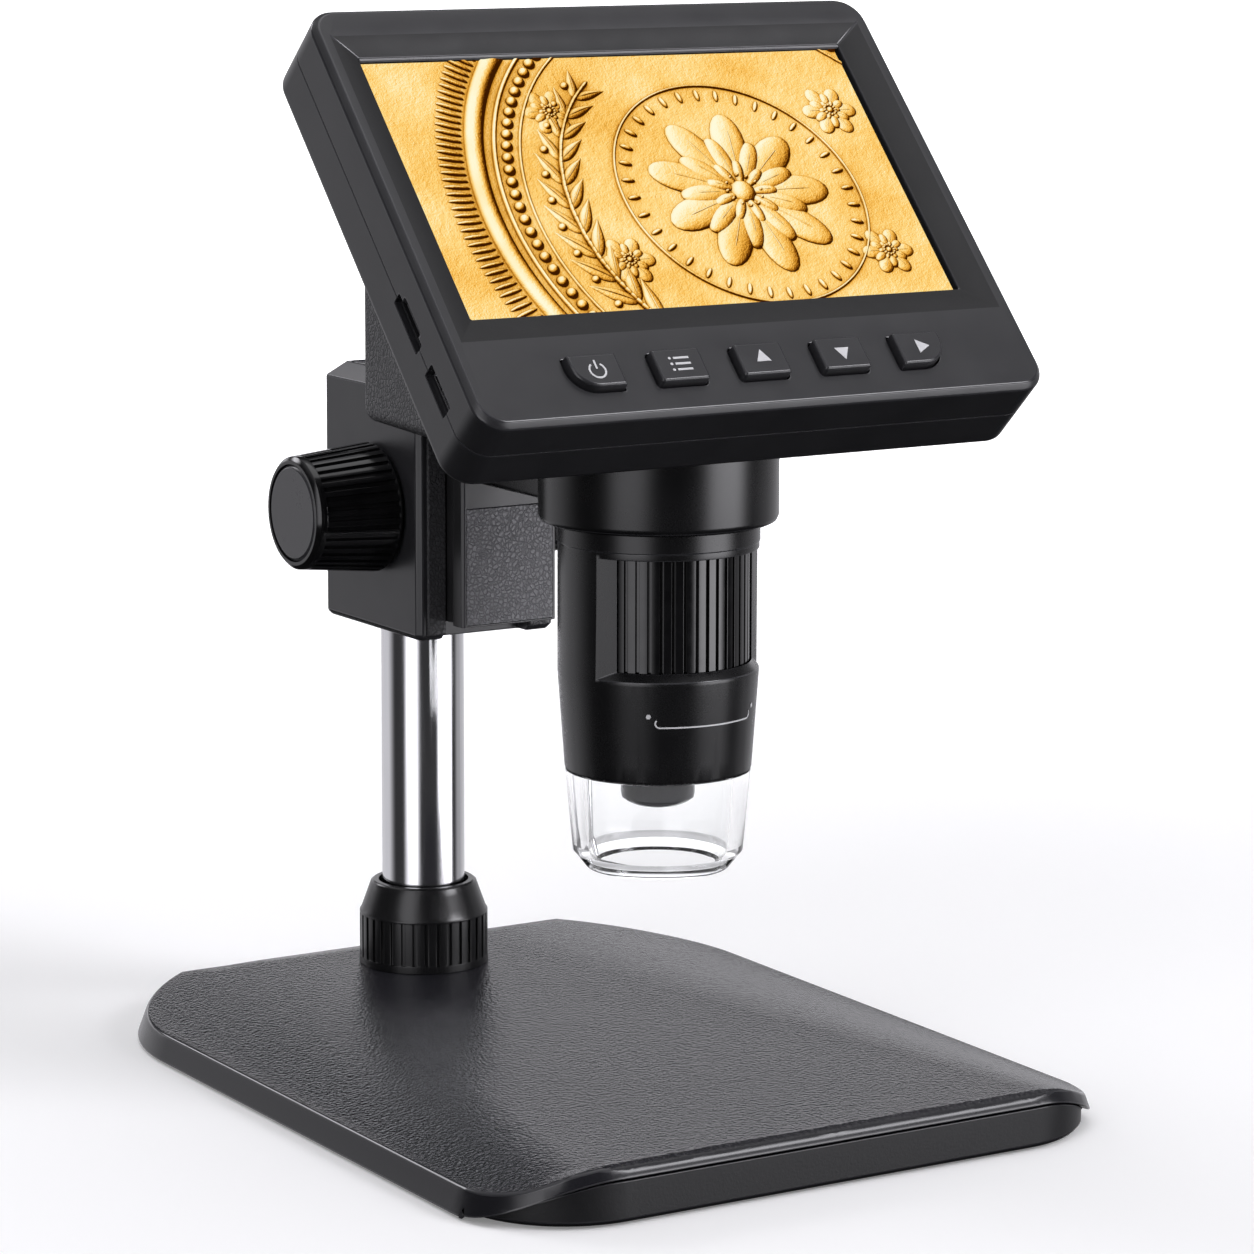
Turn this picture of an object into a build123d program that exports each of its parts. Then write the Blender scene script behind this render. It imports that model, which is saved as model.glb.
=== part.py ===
"""Bench microscope with a 4.3 inch colour display, on a focusing stand.

Millimetres. +Z is up, +X is the user's right and the user sits on the -Y side.
The origin is the middle of the base, on the plane that the rubber feet rest on.
"""
from build123d import *
import os
from math import atan2, cos, pi, radians, sin, sqrt, tan

os.makedirs("parts", exist_ok=True)

# ---------------------------------------------------------------- clearances
slip = 0.3            # between neighbouring mouldings
fit = 0.05            # located fits, screws in their holes
running = 0.08        # turning and sliding fits

# ---------------------------------------------------------------------- base
base_width = 123.2    # at the foot of the skirt
base_depth = 170.0
front_corner_radius = 22.0
back_corner_radius = 43.0
skirt_bottom = 0.5    # underside of the base above the table
skirt_draft = 20.0    # the skirt leans in towards its top by this angle
edge_top = 5.0        # top of the skirt at the sides and at the back
pad_top = 8.4         # flat stage
lip_top = 10.0        # crest of the rolled lip along the front
lip_bottom = 7.7      # lower edge of the lip
lip_roll = 1.4        # height of the lip's rounded front
crest_setback = 5.4   # crest of the lip behind the foot of the skirt
trough_setback = 9.5  # start of the flat stage
crease_front = 44.0   # half width of the flat stage at the front
crease_back = 14.0    # half width of the flat stage at the back
sweep_inner = 41.0    # the lip starts to dip this far from the middle
sweep_start = 1.4     # rise of the lip's lower edge as it leaves the side
skirt_wall = 2.0
panel_setback_front = 2.9   # front wall of the tray, behind the foot of the skirt
panel_setback_side = 1.9
panel_foot = 0.8      # bevel along the foot of that wall
panel_wall = 2.1
panel_reach = 18.7    # how far the front wall wraps round the corners
tray_thickness = 2.0
ballast_width = 64.0
ballast_front = 19.0   # plate to the front of the base
ballast_rear = 23.0    # plate to the back of the base
ballast_thickness = 3.2
foot_radius = 6.0
foot_inlay = 0.7
foot_places = [(-46, -62), (46, -62), (-38, 60), (38, 60)]
base_screw_places = [(-44, -36), (44, -36), (-44, 6), (44, 6), (-38, 42), (38, 42)]
base_screw_radius = 1.2
base_screw_head = 2.4
base_screw_bite = 2.3

# ---------------------------------------------------------------------- post
post_radius = 7.7
post_setback = 29.1   # from the back of the base
post_head_room = 1.5   # metal left between the post and the pinion
post_screw_radius = 2.2
post_screw_head = 4.4
post_screw_bite = 12.0
collet_wall = 1.8
collet_top = 20.6
nut_radius = 12.0
nut_top_radius = 9.9
nut_height = 15.6
nut_cone_height = 5.4
nut_ribs = 34
nut_groove_depth = 0.5
nut_groove_share = 0.34
nut_band = 1.4        # plain bands above and below the grooves
nut_roof = 2.6
nut_mouth_gap = 0.7

# --------------------------------------------------------------- focus block
block_width = 28.5
block_reach = 24.1    # in front of the post's middle
block_rear = 11.7     # behind it
block_bottom = 73.8
block_side_top = 118.9
cap_height = 2.6
cap_bevel = 3.0
block_edge = 1.0
bore_end_gap = 0.3
channel_half = 8.7    # channel between the cheeks
channel_depth = 3.7
cheek_thickness = 0.6
cheek_margin = 0.8
slot_bottom = 78.0
slot_neck_half = 5.3
slot_neck_depth = 2.6
slot_tee_half = 8.3
slot_tee_depth = 2.2
grub_radius = 2.0
grub_height = 80.5
cap_screw_radius = 1.1
cap_screw_head = 2.1
cap_screw_length = 8.0

# ------------------------------------------------------------ rack and pinion
tooth_module = 0.8
pinion_teeth = 15
pressure_angle = 20.0
addendum_factor = 0.7
dedendum_factor = 0.9
backlash = 0.12
pinion_width = 6.0
rack_width = 6.6
knob_z = 96.7
shaft_radius = 2.5
bush_radius = 4.0
bush_length = 6.5
bush_flange = 0.5

# --------------------------------------------------------------------- knobs
knob_gap = 0.3        # to the flange of the bush
knob_inner_radius = 11.9
knob_outer_radius = 10.2
knob_length = 16.5
knob_ribs = 36
knob_rib_depth = 0.55
knob_plain_inner = 0.5
knob_plain_outer = 1.9
knob_edge = 0.7
knob_cap_radius = 8.8
knob_cap_thickness = 1.3
knob_bore_depth = 13.0

# --------------------------------------------------------------------- slide
travel_up = 10.0
travel_down = 6.0
rack_spare = 2.0      # rack past the last working tooth at each end
flange_half = 9.8
flange_gap = 4.4      # between the flange and the block
flange_thickness = 3.9
slide_bottom = 77.2
slide_top = 114.6
stem_half = 8.4
face_plate_top = 98.6
face_plate_thickness = 0.6
face_plate_margin = 0.4
arm_bottom = 104.0
arm_screw_radius = 1.3
arm_screw_head = 2.4

# ----------------------------------------------------------- microscope body
body_reach = 82.8     # from the post's middle to the body's
ring_radius = 20.5
ring_bottom = 102.7
ring_top = 115.2
ring_edge = 1.3
collar_radius = 17.35
collar_bore = 14.6
collar_bottom = 99.4
collar_flange_radius = 20.0
collar_flange_thickness = 1.8
collar_neck_height = 1.6
ring_screw_radius = 0.9
ring_screw_head = 1.5
ring_screw_bite = 5.0
sleeve_radius = 17.2
sleeve_foot_radius = 16.0
sleeve_foot = 60.0
sleeve_taper_top = 77.0
sleeve_bore = 14.6
window_bottom = 79.0
window_top = 98.2
window_half_angle = 57.5
window_bevel_angle = 68.4
window_sill = 1.4
wheel_radius = 15.6
wheel_gap = 0.3       # wheel to the wall round it
wheel_end_gap = 0.15
wheel_floor = 77.8
wheel_ribs = 48
wheel_groove_depth = 0.6
wheel_groove_share = 0.3
barrel_radius = 10.9
barrel_bore = 8.4
barrel_bottom = 66.0
barrel_top = 92.0
nose_radius = 6.0
nose_bottom = 55.0
lens_radius = 4.8
lens_thickness = 2.4
lens_crown = 0.6
lens_recess = 0.6
barrel_travel = 4.0
led_board_radius = 13.6
led_board_bore = 6.6
led_board_thickness = 1.2
led_count = 8
led_circle = 10.2
led_size = 2.2
led_height = 0.8
shelf_radius = 12.4
shelf_thickness = 1.4
shroud_lip_height = 0.4
shroud_wall = 2.4
shroud_waist_radius = 14.6
shroud_waist = 45.9
shroud_tip_radius = 12.3
shroud_bottom = 43.0
sensor_board_size = 24.0
sensor_board_thickness = 1.2
sensor_size = 7.0
sensor_height = 1.1

# -------------------------------------------------------------- display head
screen_tilt = 43.0    # the screen leans back from upright
screen_lead = 1.2     # middle of the glass in front of the body's
screen_z = 161.4
glass_width = 95.6
glass_height = 54.6
glass_thickness = 1.5
head_width = 110.6
head_top = 36.8       # up the screen from its middle
head_bottom = -50.0
head_corner = 5.3
face_height = 2.0     # bezel face above the glass
face_edge = 1.0
parting = -6.0
rear_face = -14.5
rear_edge = 1.6
head_wall = 2.0
rim_width = 5.0       # slope round the glass, left and right
rim_above = 3.6
rim_below = 6.0
lcd_width = 99.0
lcd_height = 59.0
lcd_thickness = 3.5
case_boss_radius = 2.3
case_boss_merge = 0.15   # corner bosses run into the walls by this much
case_screw_radius = 1.0
case_screw_head = 1.8
main_board_width = 102.0
main_board_top = 28.0
main_board_bottom = -42.4
main_board_face = -7.1
main_board_thickness = 1.4
processor_size = 14.0
memory_width = 10.0
memory_height = 8.0
chip_thickness = 1.0
board_boss_radius = 2.4
board_screw_places = [(-40, 22), (40, 22), (-40, -16), (40, -16)]
board_screw_radius = 0.9
board_screw_head = 1.7

# ------------------------------------------------------------------- buttons
button_pitch = 15.8
button_v = -41.3
button_width = 9.2
button_height = 6.4
button_corner = 0.6
button_bow = 4.6      # round lower corner of the outermost buttons
button_face = 3.6
button_travel = 0.8
button_gap = 0.25
button_flange = 0.7
button_flange_thickness = 0.7
key_board_width = 76.0
key_board_height = 10.0
key_board_thickness = 1.2
key_board_face = -4.9
key_post_radius = 1.7
switch_size = 4.0

# --------------------------------------------------------------------- ports
usb_v = -36.8
usb_width = 8.2
usb_height = 2.5
usb_depth = 7.0
usb_wall = 0.4
usb_setback = 1.3     # mouth of the socket behind the outer wall
card_v = -23.0
card_width = 10.2
card_height = 1.9
card_depth = 12.0
card_slot = 0.9
scoop_radius = 5.4
port_gap = 0.2

# ------------------------------------------------------------- rear housing
housing_reach = 26.5  # from the post's middle to the back of the housing
housing_half = 26.9   # half width at the back
housing_flare = 7.1   # the sides open towards the front by this angle
housing_bottom = ring_top
housing_back_top = 150.0
housing_top_v = 22.0
housing_front_v = -46.0
housing_edge = 3.0
housing_wall = 2.0
housing_boss_radius = 2.6
housing_screw_radius = 1.1
housing_screw_head = 2.0
housing_screw_bite = 6.0
housing_screw_heights = [14, -34]
battery_width = 40.0
battery_height = 28.0
battery_thickness = 6.5

# ------------------------------------------------------------- worked out
lip_inset = (lip_bottom - skirt_bottom) * tan(radians(skirt_draft))
base_middle = -lip_inset / 2      # centres the whole base, as the lip leans in over its foot
base_front = base_middle - base_depth / 2
base_back = base_middle + base_depth / 2
post_y = base_back - post_setback
block_front = post_y - block_reach
block_back = post_y + block_rear
flange_back = block_front - flange_gap
flange_front = flange_back - flange_thickness
body_y = post_y - body_reach
screen_y = body_y - screen_lead
housing_back = post_y - housing_reach
tray_top = skirt_bottom + tray_thickness
ballast_top = tray_top + ballast_thickness
ballast_depth = base_depth - ballast_front - ballast_rear
ballast_middle = base_middle + (ballast_front - ballast_rear) / 2
collet_radius = post_radius + running + collet_wall
nut_top = pad_top + fit + nut_height
block_top = block_side_top + cap_height
cheek_front = block_front - cheek_thickness
channel_back = block_front + channel_depth
neck_back = channel_back + slot_neck_depth
tee_back = neck_back + slot_tee_depth
pitch_radius = tooth_module * pinion_teeth / 2
addendum = addendum_factor * tooth_module
dedendum = dedendum_factor * tooth_module
rack_root = tee_back + slip
pitch_line_y = rack_root + dedendum
knob_y = pitch_line_y + pitch_radius
rack_bottom = knob_z - travel_up - rack_spare
rack_top = knob_z + travel_down + rack_spare
block_half = block_width / 2
collar_top = ring_top + housing_wall + collar_flange_thickness + collar_neck_height
wheel_bore = barrel_radius + running
post_top = knob_z - pitch_radius - addendum - slip - post_head_room
screen_normal = (0, -cos(radians(screen_tilt)), sin(radians(screen_tilt)))
screen_plane = Plane(origin=(0, screen_y, screen_z), x_dir=(1, 0, 0), z_dir=screen_normal)


# ------------------------------------------------------------------- helpers
def rod(radius, bottom, top, x=0, y=0):
    """Upright cylinder between two heights."""
    return Pos(x, y, (bottom + top) / 2) * Cylinder(radius, top - bottom)


def brick(x0, x1, y0, y1, z0, z1):
    """Box between two corners."""
    centre = Pos((x0 + x1) / 2, (y0 + y1) / 2, (z0 + z1) / 2)
    return centre * Box(x1 - x0, y1 - y0, z1 - z0)


def ring(outer, inner, bottom, top, x=0, y=0):
    return rod(outer, bottom, top, x, y) - rod(inner, bottom, top, x, y)


def turned(points, x=0, y=0):
    """Solid of revolution about an upright axis from (radius, height) points."""
    outline = Plane.XZ * make_face(Polyline(*points, close=True))
    return Pos(x, y, 0) * revolve(outline, Axis.Z)


def across(solid, sign=1):
    """Turns a solid built along +Z so that it points along +X or -X."""
    return Rot(0, 90 * sign, 0) * solid


def backwards(solid):
    """Turns a solid built along +Z so that it points along +Y."""
    return Rot(-90, 0, 0) * solid


def on_screen(solid):
    """Places a solid built over the screen's own plane: u right, v up, w out."""
    return screen_plane.location * solid


def toothed_outline(radius, depth, count, groove_share):
    """Round outline with square grooves, as on a ribbed wheel."""
    pitch = 2 * pi / count
    groove = pitch * groove_share / 2
    points = []
    for index in range(count):
        middle = index * pitch
        for angle, reach in (
            (middle - groove, radius),
            (middle - groove, radius - depth),
            (middle + groove, radius - depth),
            (middle + groove, radius),
            (middle + pitch / 2, radius),
        ):
            points.append((reach * cos(angle), reach * sin(angle)))
    return make_face(Polyline(*points, close=True))


def screw(head_radius, head_height, shank_radius, length):
    """Pan head screw: head from z=0 up, shank down, with a hex socket."""
    head = rod(head_radius, 0, head_height)
    shank = rod(shank_radius, -length, 0)
    socket = extrude(RegularPolygon(head_radius * 0.5, 6), head_height * 0.6)
    return head + shank - Pos(0, 0, head_height * 0.4) * socket


def save(name, *solids):
    """Writes one sub-part; several solids stay separate in the same file."""
    shape = solids[0] if len(solids) == 1 else Compound(children=list(solids))
    export_step(shape, f"parts/{name}.step")


# ---------------------------------------------------------------------- base
def base_outline(inset):
    """Plan of the base, drawn in by the inset all round."""
    plan = Rectangle(base_width - 2 * inset, base_depth - 2 * inset)
    plan = fillet(plan.vertices().group_by(Axis.Y)[0], front_corner_radius - inset)
    plan = fillet(plan.vertices().group_by(Axis.Y)[-1][-2:], back_corner_radius - inset)
    return Pos(0, base_middle) * plan


def base_slab(inset, bottom, top):
    return Pos(0, 0, bottom) * extrude(base_outline(inset), top - bottom)


def skirt_inset(height):
    """How far the skirt's face has leaned in at this height."""
    return (height - skirt_bottom) * tan(radians(skirt_draft))


def skirt_form():
    """Everything inside the leaning face of the skirt."""
    rise = lip_top + 1 - skirt_bottom
    return Pos(0, 0, skirt_bottom) * extrude(base_outline(0), rise, taper=skirt_draft)


def dipping_line(outer, inner, low, high, start=0.0):
    """Left half of a front view line: level in the middle, lower at the side."""
    reach = outer - inner
    return Bezier(
        (-outer, low), (-outer + reach * 0.16, low + start),
        (-inner - reach * 0.48, high), (-inner, high),
    )


def under_lip(drop=0.0):
    """Everything under the lower edge of the lip, which dips at both corners."""
    outer = base_width / 2
    low, high = skirt_bottom - drop, lip_bottom - drop
    left = dipping_line(outer, sweep_inner, low, high, sweep_start)
    right = mirror(left, about=Plane.YZ)
    level = Line((-sweep_inner, high), (sweep_inner, high))
    floor = Polyline((-outer, low), (-outer, -high), (outer, -high), (outer, low))
    return extrude(Plane.XZ * make_face([left, level, right, floor]), base_depth, both=True)


def crown_section(y, crease, top):
    """Cross section of the base: flat in the middle, falling to the skirt's top edge."""
    plane = Plane(origin=(0, y, 0), x_dir=(1, 0, 0), z_dir=(0, -1, 0))
    half = base_width / 2
    edge = half - skirt_inset(edge_top)
    left = dipping_line(edge, crease, edge_top, top)
    right = mirror(left, about=Plane.YZ)
    level = Line((-crease, top), (crease, top))
    rest = Polyline(
        (-edge, edge_top), (-half, edge_top), (-half, 0), (half, 0), (half, edge_top), (edge, edge_top),
    )
    return plane * make_face([left, level, right, rest])


def back_fall():
    """Space over the back of the base, where the stage falls to the skirt."""
    start = post_y + nut_radius + slip
    end = base_back - skirt_inset(edge_top)
    run = (end - start) / 3
    fall = Bezier((start, pad_top), (start + run, pad_top), (end - run, edge_top + 0.6), (end, edge_top))
    above = Polyline(
        (end, edge_top), (base_depth, edge_top), (base_depth, 2 * pad_top), (start, 2 * pad_top),
        (start, pad_top),
    )
    return extrude(Plane.YZ * make_face([fall, above]), base_width, both=True)


def lip_front():
    """Space in front of the lip's rounded face."""
    low = lip_top - lip_roll
    face = base_front + skirt_inset(low)
    crest = base_front + crest_setback
    lean = tan(radians(skirt_draft))
    roll = Bezier(
        (face, low), (face + lip_roll * 0.6 * lean, low + lip_roll * 0.6),
        (crest - (crest - face) * 0.5, lip_top), (crest, lip_top),
    )
    outside = Polyline(
        (crest, lip_top), (crest, 2 * lip_top), (-base_depth, 2 * lip_top), (-base_depth, low), (face, low),
    )
    return extrude(Plane.YZ * make_face([roll, outside]), base_width, both=True)


def panel_outline(inset):
    """Plan of the tray's front wall, drawn in by the inset."""
    side = panel_setback_side + inset
    plan = Rectangle(base_width - 2 * side, base_depth - 2 * (panel_setback_front + inset))
    plan = fillet(plan.vertices().group_by(Axis.Y)[0], front_corner_radius - side)
    plan = fillet(plan.vertices().group_by(Axis.Y)[-1][-2:], back_corner_radius - side)
    return Pos(0, base_middle) * plan


def panel_zone(outer_inset, inner_inset, reach):
    """Upright band along that wall, round the front and both its corners."""
    height = 2 * lip_top
    band = extrude(panel_outline(outer_inset), height, both=True)
    band -= extrude(panel_outline(inner_inset), height, both=True)
    return band & brick(-base_width, base_width, base_front - 5, base_front + reach, -height, height)


def base_cover():
    crown = loft([
        crown_section(base_front - 1, sweep_inner, lip_top),
        crown_section(base_front + crest_setback, sweep_inner, lip_top),
        crown_section(base_front + trough_setback, crease_front, pad_top),
        crown_section(base_back + 1, crease_back, pad_top),
    ], ruled=True)
    cover = (crown - back_fall() - lip_front()) & skirt_form()
    cover -= base_slab(skirt_wall, -1, tray_top)
    outside = -panel_setback_front - 1
    window = panel_zone(outside, panel_wall + slip, panel_reach + slip)
    cover -= window & under_lip()
    cover -= ballast_block(slip, ballast_top)
    cover -= rod(collet_radius + fit, 0, lip_top + 1, 0, post_y)
    for x, y in base_screw_places:
        cover -= rod(base_screw_radius + fit, 0, tray_top + base_screw_bite, x, y)
    return cover


def ballast_block(gap, top):
    plan = Rectangle(ballast_width + 2 * gap, ballast_depth + 2 * gap)
    plan = fillet(plan.vertices(), 6)
    return Pos(0, ballast_middle, tray_top) * extrude(plan, top - tray_top)


def base_tray():
    """Floor of the base with the upright wall under the lip."""
    low = Pos(0, 0, skirt_bottom)
    plate = base_slab(skirt_wall + slip, skirt_bottom, tray_top)
    plate &= low * extrude(panel_outline(0), tray_thickness)
    wall = panel_zone(0, panel_wall, panel_reach) & base_slab(0, skirt_bottom, lip_top)
    wall &= under_lip(drop=slip)
    bevelled = low * extrude(panel_outline(panel_foot), panel_foot, taper=-45)
    bevelled += Pos(0, 0, skirt_bottom + panel_foot) * extrude(panel_outline(0), lip_top)
    tray = (plate + wall) & bevelled
    for x, y in foot_places:
        tray -= rod(foot_radius + fit, 0, skirt_bottom + foot_inlay, x, y)
    for x, y in base_screw_places:
        tray -= rod(base_screw_radius + fit, 0, tray_top, x, y)
        tray -= rod(base_screw_head + fit, 0, tray_top - 1, x, y)
    tray -= rod(post_screw_head + fit, 0, tray_top, 0, post_y)
    return tray


def ballast_plate():
    plate = ballast_block(0, ballast_top)
    return plate - rod(post_screw_radius + fit, 0, ballast_top, 0, post_y)


def rubber_feet():
    feet = []
    for x, y in foot_places:
        foot = rod(foot_radius, 0, skirt_bottom + foot_inlay, x, y)
        feet.append(chamfer(foot.edges().group_by(Axis.Z)[0], 0.3))
    return feet


def upward_screw(place, head_bottom, head_top, head_radius, shank_radius, shank_top):
    """Screw driven from below, with its head flat underneath."""
    x, y = place
    body = rod(head_radius, head_bottom, head_top, x, y) + rod(shank_radius, head_top, shank_top, x, y)
    socket = extrude(RegularPolygon(head_radius * 0.5, 6), (head_top - head_bottom) * 0.6)
    return body - Pos(x, y, head_bottom) * socket


def base_screws():
    head_top = tray_top - 1
    top = tray_top + base_screw_bite - fit
    return [
        upward_screw(place, skirt_bottom + fit, head_top, base_screw_head, base_screw_radius, top)
        for place in base_screw_places
    ]


# ---------------------------------------------------------------------- post
def post():
    column = rod(post_radius, ballast_top, post_top, 0, post_y)
    column = chamfer(column.edges().group_by(Axis.Z)[-1], 0.6)
    hole_top = ballast_top + post_screw_bite + 1
    return column - rod(post_screw_radius + fit, ballast_top, hole_top, 0, post_y)


def post_screw():
    top = ballast_top + post_screw_bite
    return upward_screw((0, post_y), skirt_bottom + fit, tray_top, post_screw_head, post_screw_radius, top)


def post_collet():
    """Split sleeve that the nut closes on the post."""
    sleeve = ring(collet_radius, post_radius + fit, ballast_top, collet_top, 0, post_y)
    slit = brick(-0.5, 0.5, -collet_radius - 1, collet_radius + 1, pad_top + 3, collet_top + 1)
    for turn in (0, 60, 120):
        sleeve -= Pos(0, post_y, 0) * Rot(0, 0, turn) * slit
    return sleeve


def clamp_nut():
    bottom = pad_top + fit
    shoulder = nut_top - nut_cone_height
    inner = collet_radius + running
    mouth = post_radius + nut_mouth_gap
    roof = nut_top - nut_roof
    nut = turned([
        (inner, bottom), (nut_radius + 0.1, bottom), (nut_radius + 0.1, bottom + nut_band),
        (nut_radius, bottom + nut_band), (nut_radius, shoulder - 0.4), (nut_radius - 0.3, shoulder),
        (nut_top_radius, nut_top - 0.4), (nut_top_radius - 0.5, nut_top), (mouth, nut_top),
        (mouth, roof), (inner, roof),
    ], 0, post_y)
    low = bottom + nut_band
    high = shoulder - nut_band * 0.6
    core = toothed_outline(nut_radius, nut_groove_depth, nut_ribs, nut_groove_share)
    sleeve = ring(nut_radius + 1, 0.1, low, high, 0, post_y)
    sleeve -= Pos(0, post_y, low) * extrude(core, high - low)
    return nut - sleeve


# --------------------------------------------------------------- focus block
def pinion_room():
    """Clear space for the pinion and for the rack that passes it."""
    reach = pitch_radius + addendum + slip
    wheel = Pos(0, knob_y, knob_z) * across(Cylinder(reach, pinion_width + 2 * slip))
    half = rack_width / 2 + slip
    passage = brick(-half, half, tee_back, pitch_line_y + addendum + slip, slot_bottom, block_side_top)
    return wheel + passage


def focus_block():
    block = brick(-block_half, block_half, block_front, block_back, block_bottom, block_side_top)
    block = chamfer(block.edges().filter_by(Axis.Z), block_edge)
    block = chamfer(block.edges().group_by(Axis.Z)[0], block_edge)
    block -= rod(post_radius + fit, block_bottom, post_top + bore_end_gap, 0, post_y)
    block -= brick(-channel_half, channel_half, block_front - 1, channel_back, 0, block_top)
    block -= brick(-slot_neck_half, slot_neck_half, block_front, neck_back, slot_bottom, block_top)
    block -= brick(-slot_tee_half, slot_tee_half, neck_back, tee_back + slip, slot_bottom, block_top)
    block -= pinion_room()
    block -= Pos(0, knob_y, knob_z) * across(Cylinder(shaft_radius + slip, block_width))
    for side in (-1, 1):
        seat = Pos(side * (block_half - bush_length / 2), knob_y, knob_z)
        block -= seat * across(Cylinder(bush_radius + fit, bush_length))
    block -= Pos(0, block_back, grub_height) * backwards(rod(grub_radius + fit, -8, 1))
    for x, y in cap_screw_places():
        block -= rod(cap_screw_radius + fit, block_side_top - cap_screw_length - slip, block_top, x, y)
    return block


def cap_screw_places():
    inset = cap_bevel + cap_screw_head + slip
    front = channel_back + cap_screw_head + slip
    return [
        (-block_half + inset, block_back - inset), (block_half - inset, block_back - inset),
        (-block_half + cap_screw_head + slip, front), (block_half - cap_screw_head - slip, front),
    ]


def block_cap():
    """Bevelled lid of the focus block, with the same channel in front."""
    plan = Rectangle(block_width, block_back - block_front)
    plan = chamfer(plan.vertices(), block_edge)
    top_plan = Rectangle(block_width - 2 * cap_bevel, block_back - block_front - 2 * cap_bevel)
    top_plan = chamfer(top_plan.vertices(), block_edge * 0.6)
    middle = (block_front + block_back) / 2
    lid = loft([Pos(0, middle, block_side_top) * plan, Pos(0, middle, block_top) * top_plan])
    lid -= brick(-channel_half, channel_half, block_front - 1, channel_back, 0, block_top + 1)
    for x, y in cap_screw_places():
        lid -= rod(cap_screw_radius + fit, block_side_top - 1, block_top + 1, x, y)
        lid -= rod(cap_screw_head + fit, block_side_top + 1.2, block_top + 1, x, y)
    return lid


def cap_screws():
    return [
        Pos(x, y, block_side_top + 1.2) * screw(cap_screw_head, 1.2, cap_screw_radius, cap_screw_length)
        for x, y in cap_screw_places()
    ]


def cheek_plates():
    """Grained facings on both sides of the channel."""
    plates = []
    for side in (-1, 1):
        x0, x1 = sorted((side * channel_half, side * (block_half - block_edge - cheek_margin)))
        plate = brick(x0, x1, cheek_front, block_front, block_bottom + block_edge, block_side_top)
        plates.append(chamfer(plate.faces().sort_by(Axis.Y)[0].edges(), 0.2))
    return plates


def block_grub():
    """Socket set screw that holds the block on the post."""
    length = block_back - (post_y + post_radius) - 1
    grub = backwards(rod(grub_radius, -length, 0))
    socket = backwards(Pos(0, 0, -1.6) * extrude(RegularPolygon(grub_radius * 0.55, 6), 1.6))
    return Pos(0, block_back - 1, grub_height) * (grub - socket)


# ------------------------------------------------------------ rack and pinion
def involute_points(base, start, end, steps=5):
    """Points of an involute between two radii, as (radius, angle)."""
    points = []
    for index in range(steps + 1):
        reach = start + (end - start) * index / steps
        roll = sqrt(max((reach / base) ** 2 - 1, 0))
        points.append((reach, roll - atan2(roll, 1)))
    return points


def pinion_outline():
    """Involute pinion with one tooth on its local +X axis."""
    base = pitch_radius * cos(radians(pressure_angle))
    root = pitch_radius - dedendum
    tip = pitch_radius + addendum
    flank = involute_points(base, max(base, root), tip)
    at_pitch = tan(radians(pressure_angle)) - radians(pressure_angle)
    half_tooth = (pi * tooth_module / 2 - backlash) / 2 / pitch_radius
    points = []
    for index in range(pinion_teeth):
        middle = 2 * pi * index / pinion_teeth
        side = [(reach, half_tooth + at_pitch - turn) for reach, turn in flank]
        if root < base:
            side.insert(0, (root, side[0][1]))
        for reach, turn in side:
            points.append((reach * cos(middle - turn), reach * sin(middle - turn)))
        for reach, turn in reversed(side):
            points.append((reach * cos(middle + turn), reach * sin(middle + turn)))
    return make_face(Polyline(*points, close=True))


def pinion_shaft():
    """Cross shaft with the pinion cut on it."""
    gear = extrude(pinion_outline(), pinion_width / 2, both=True)
    gear = Rot(0, 0, 180) * gear          # one tooth towards the rack
    gear = Rot(0, 90, 0) * Rot(0, 0, 90) * gear
    reach = block_half + bush_flange + knob_gap + knob_bore_depth - fit
    shaft = across(Cylinder(shaft_radius, 2 * reach))
    return Pos(0, knob_y, knob_z) * (gear + shaft)


def shaft_bushes():
    bushes = []
    for side in (-1, 1):
        bush = ring(bush_radius, shaft_radius + running, 0, bush_length)
        bush += ring(bush_radius + 1.2, shaft_radius + running, bush_length, bush_length + bush_flange)
        place = Pos(side * (block_half - bush_length), knob_y, knob_z)
        bushes.append(place * across(bush, side))
    return bushes


def focus_rack():
    """Straight rack on the back of the slide; a gap faces the pinion tooth."""
    pitch = pi * tooth_module
    half_tooth = (pitch / 2 - backlash) / 2
    slope = tan(radians(pressure_angle))
    root = pitch_line_y - dedendum
    tip = pitch_line_y + addendum
    points = [(tee_back - slip, rack_bottom), (root, rack_bottom)]
    first = int((rack_bottom - knob_z) / pitch - 0.5) + 1
    last = int((rack_top - knob_z) / pitch + 0.5)
    for index in range(first, last):
        middle = knob_z + (index + 0.5) * pitch
        if middle - pitch / 2 < rack_bottom or middle + pitch / 2 > rack_top:
            continue
        points.append((root, middle - half_tooth - dedendum * slope))
        points.append((tip, middle - half_tooth + addendum * slope))
        points.append((tip, middle + half_tooth - addendum * slope))
        points.append((root, middle + half_tooth + dedendum * slope))
    points += [(root, rack_top), (tee_back - slip, rack_top)]
    profile = Plane.YZ * make_face(Polyline(*points, close=True))
    return extrude(profile, rack_width / 2, both=True)


# --------------------------------------------------------------------- knobs
def knob_radius(along):
    share = along / knob_length
    return knob_inner_radius + (knob_outer_radius - knob_inner_radius) * share


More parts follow.
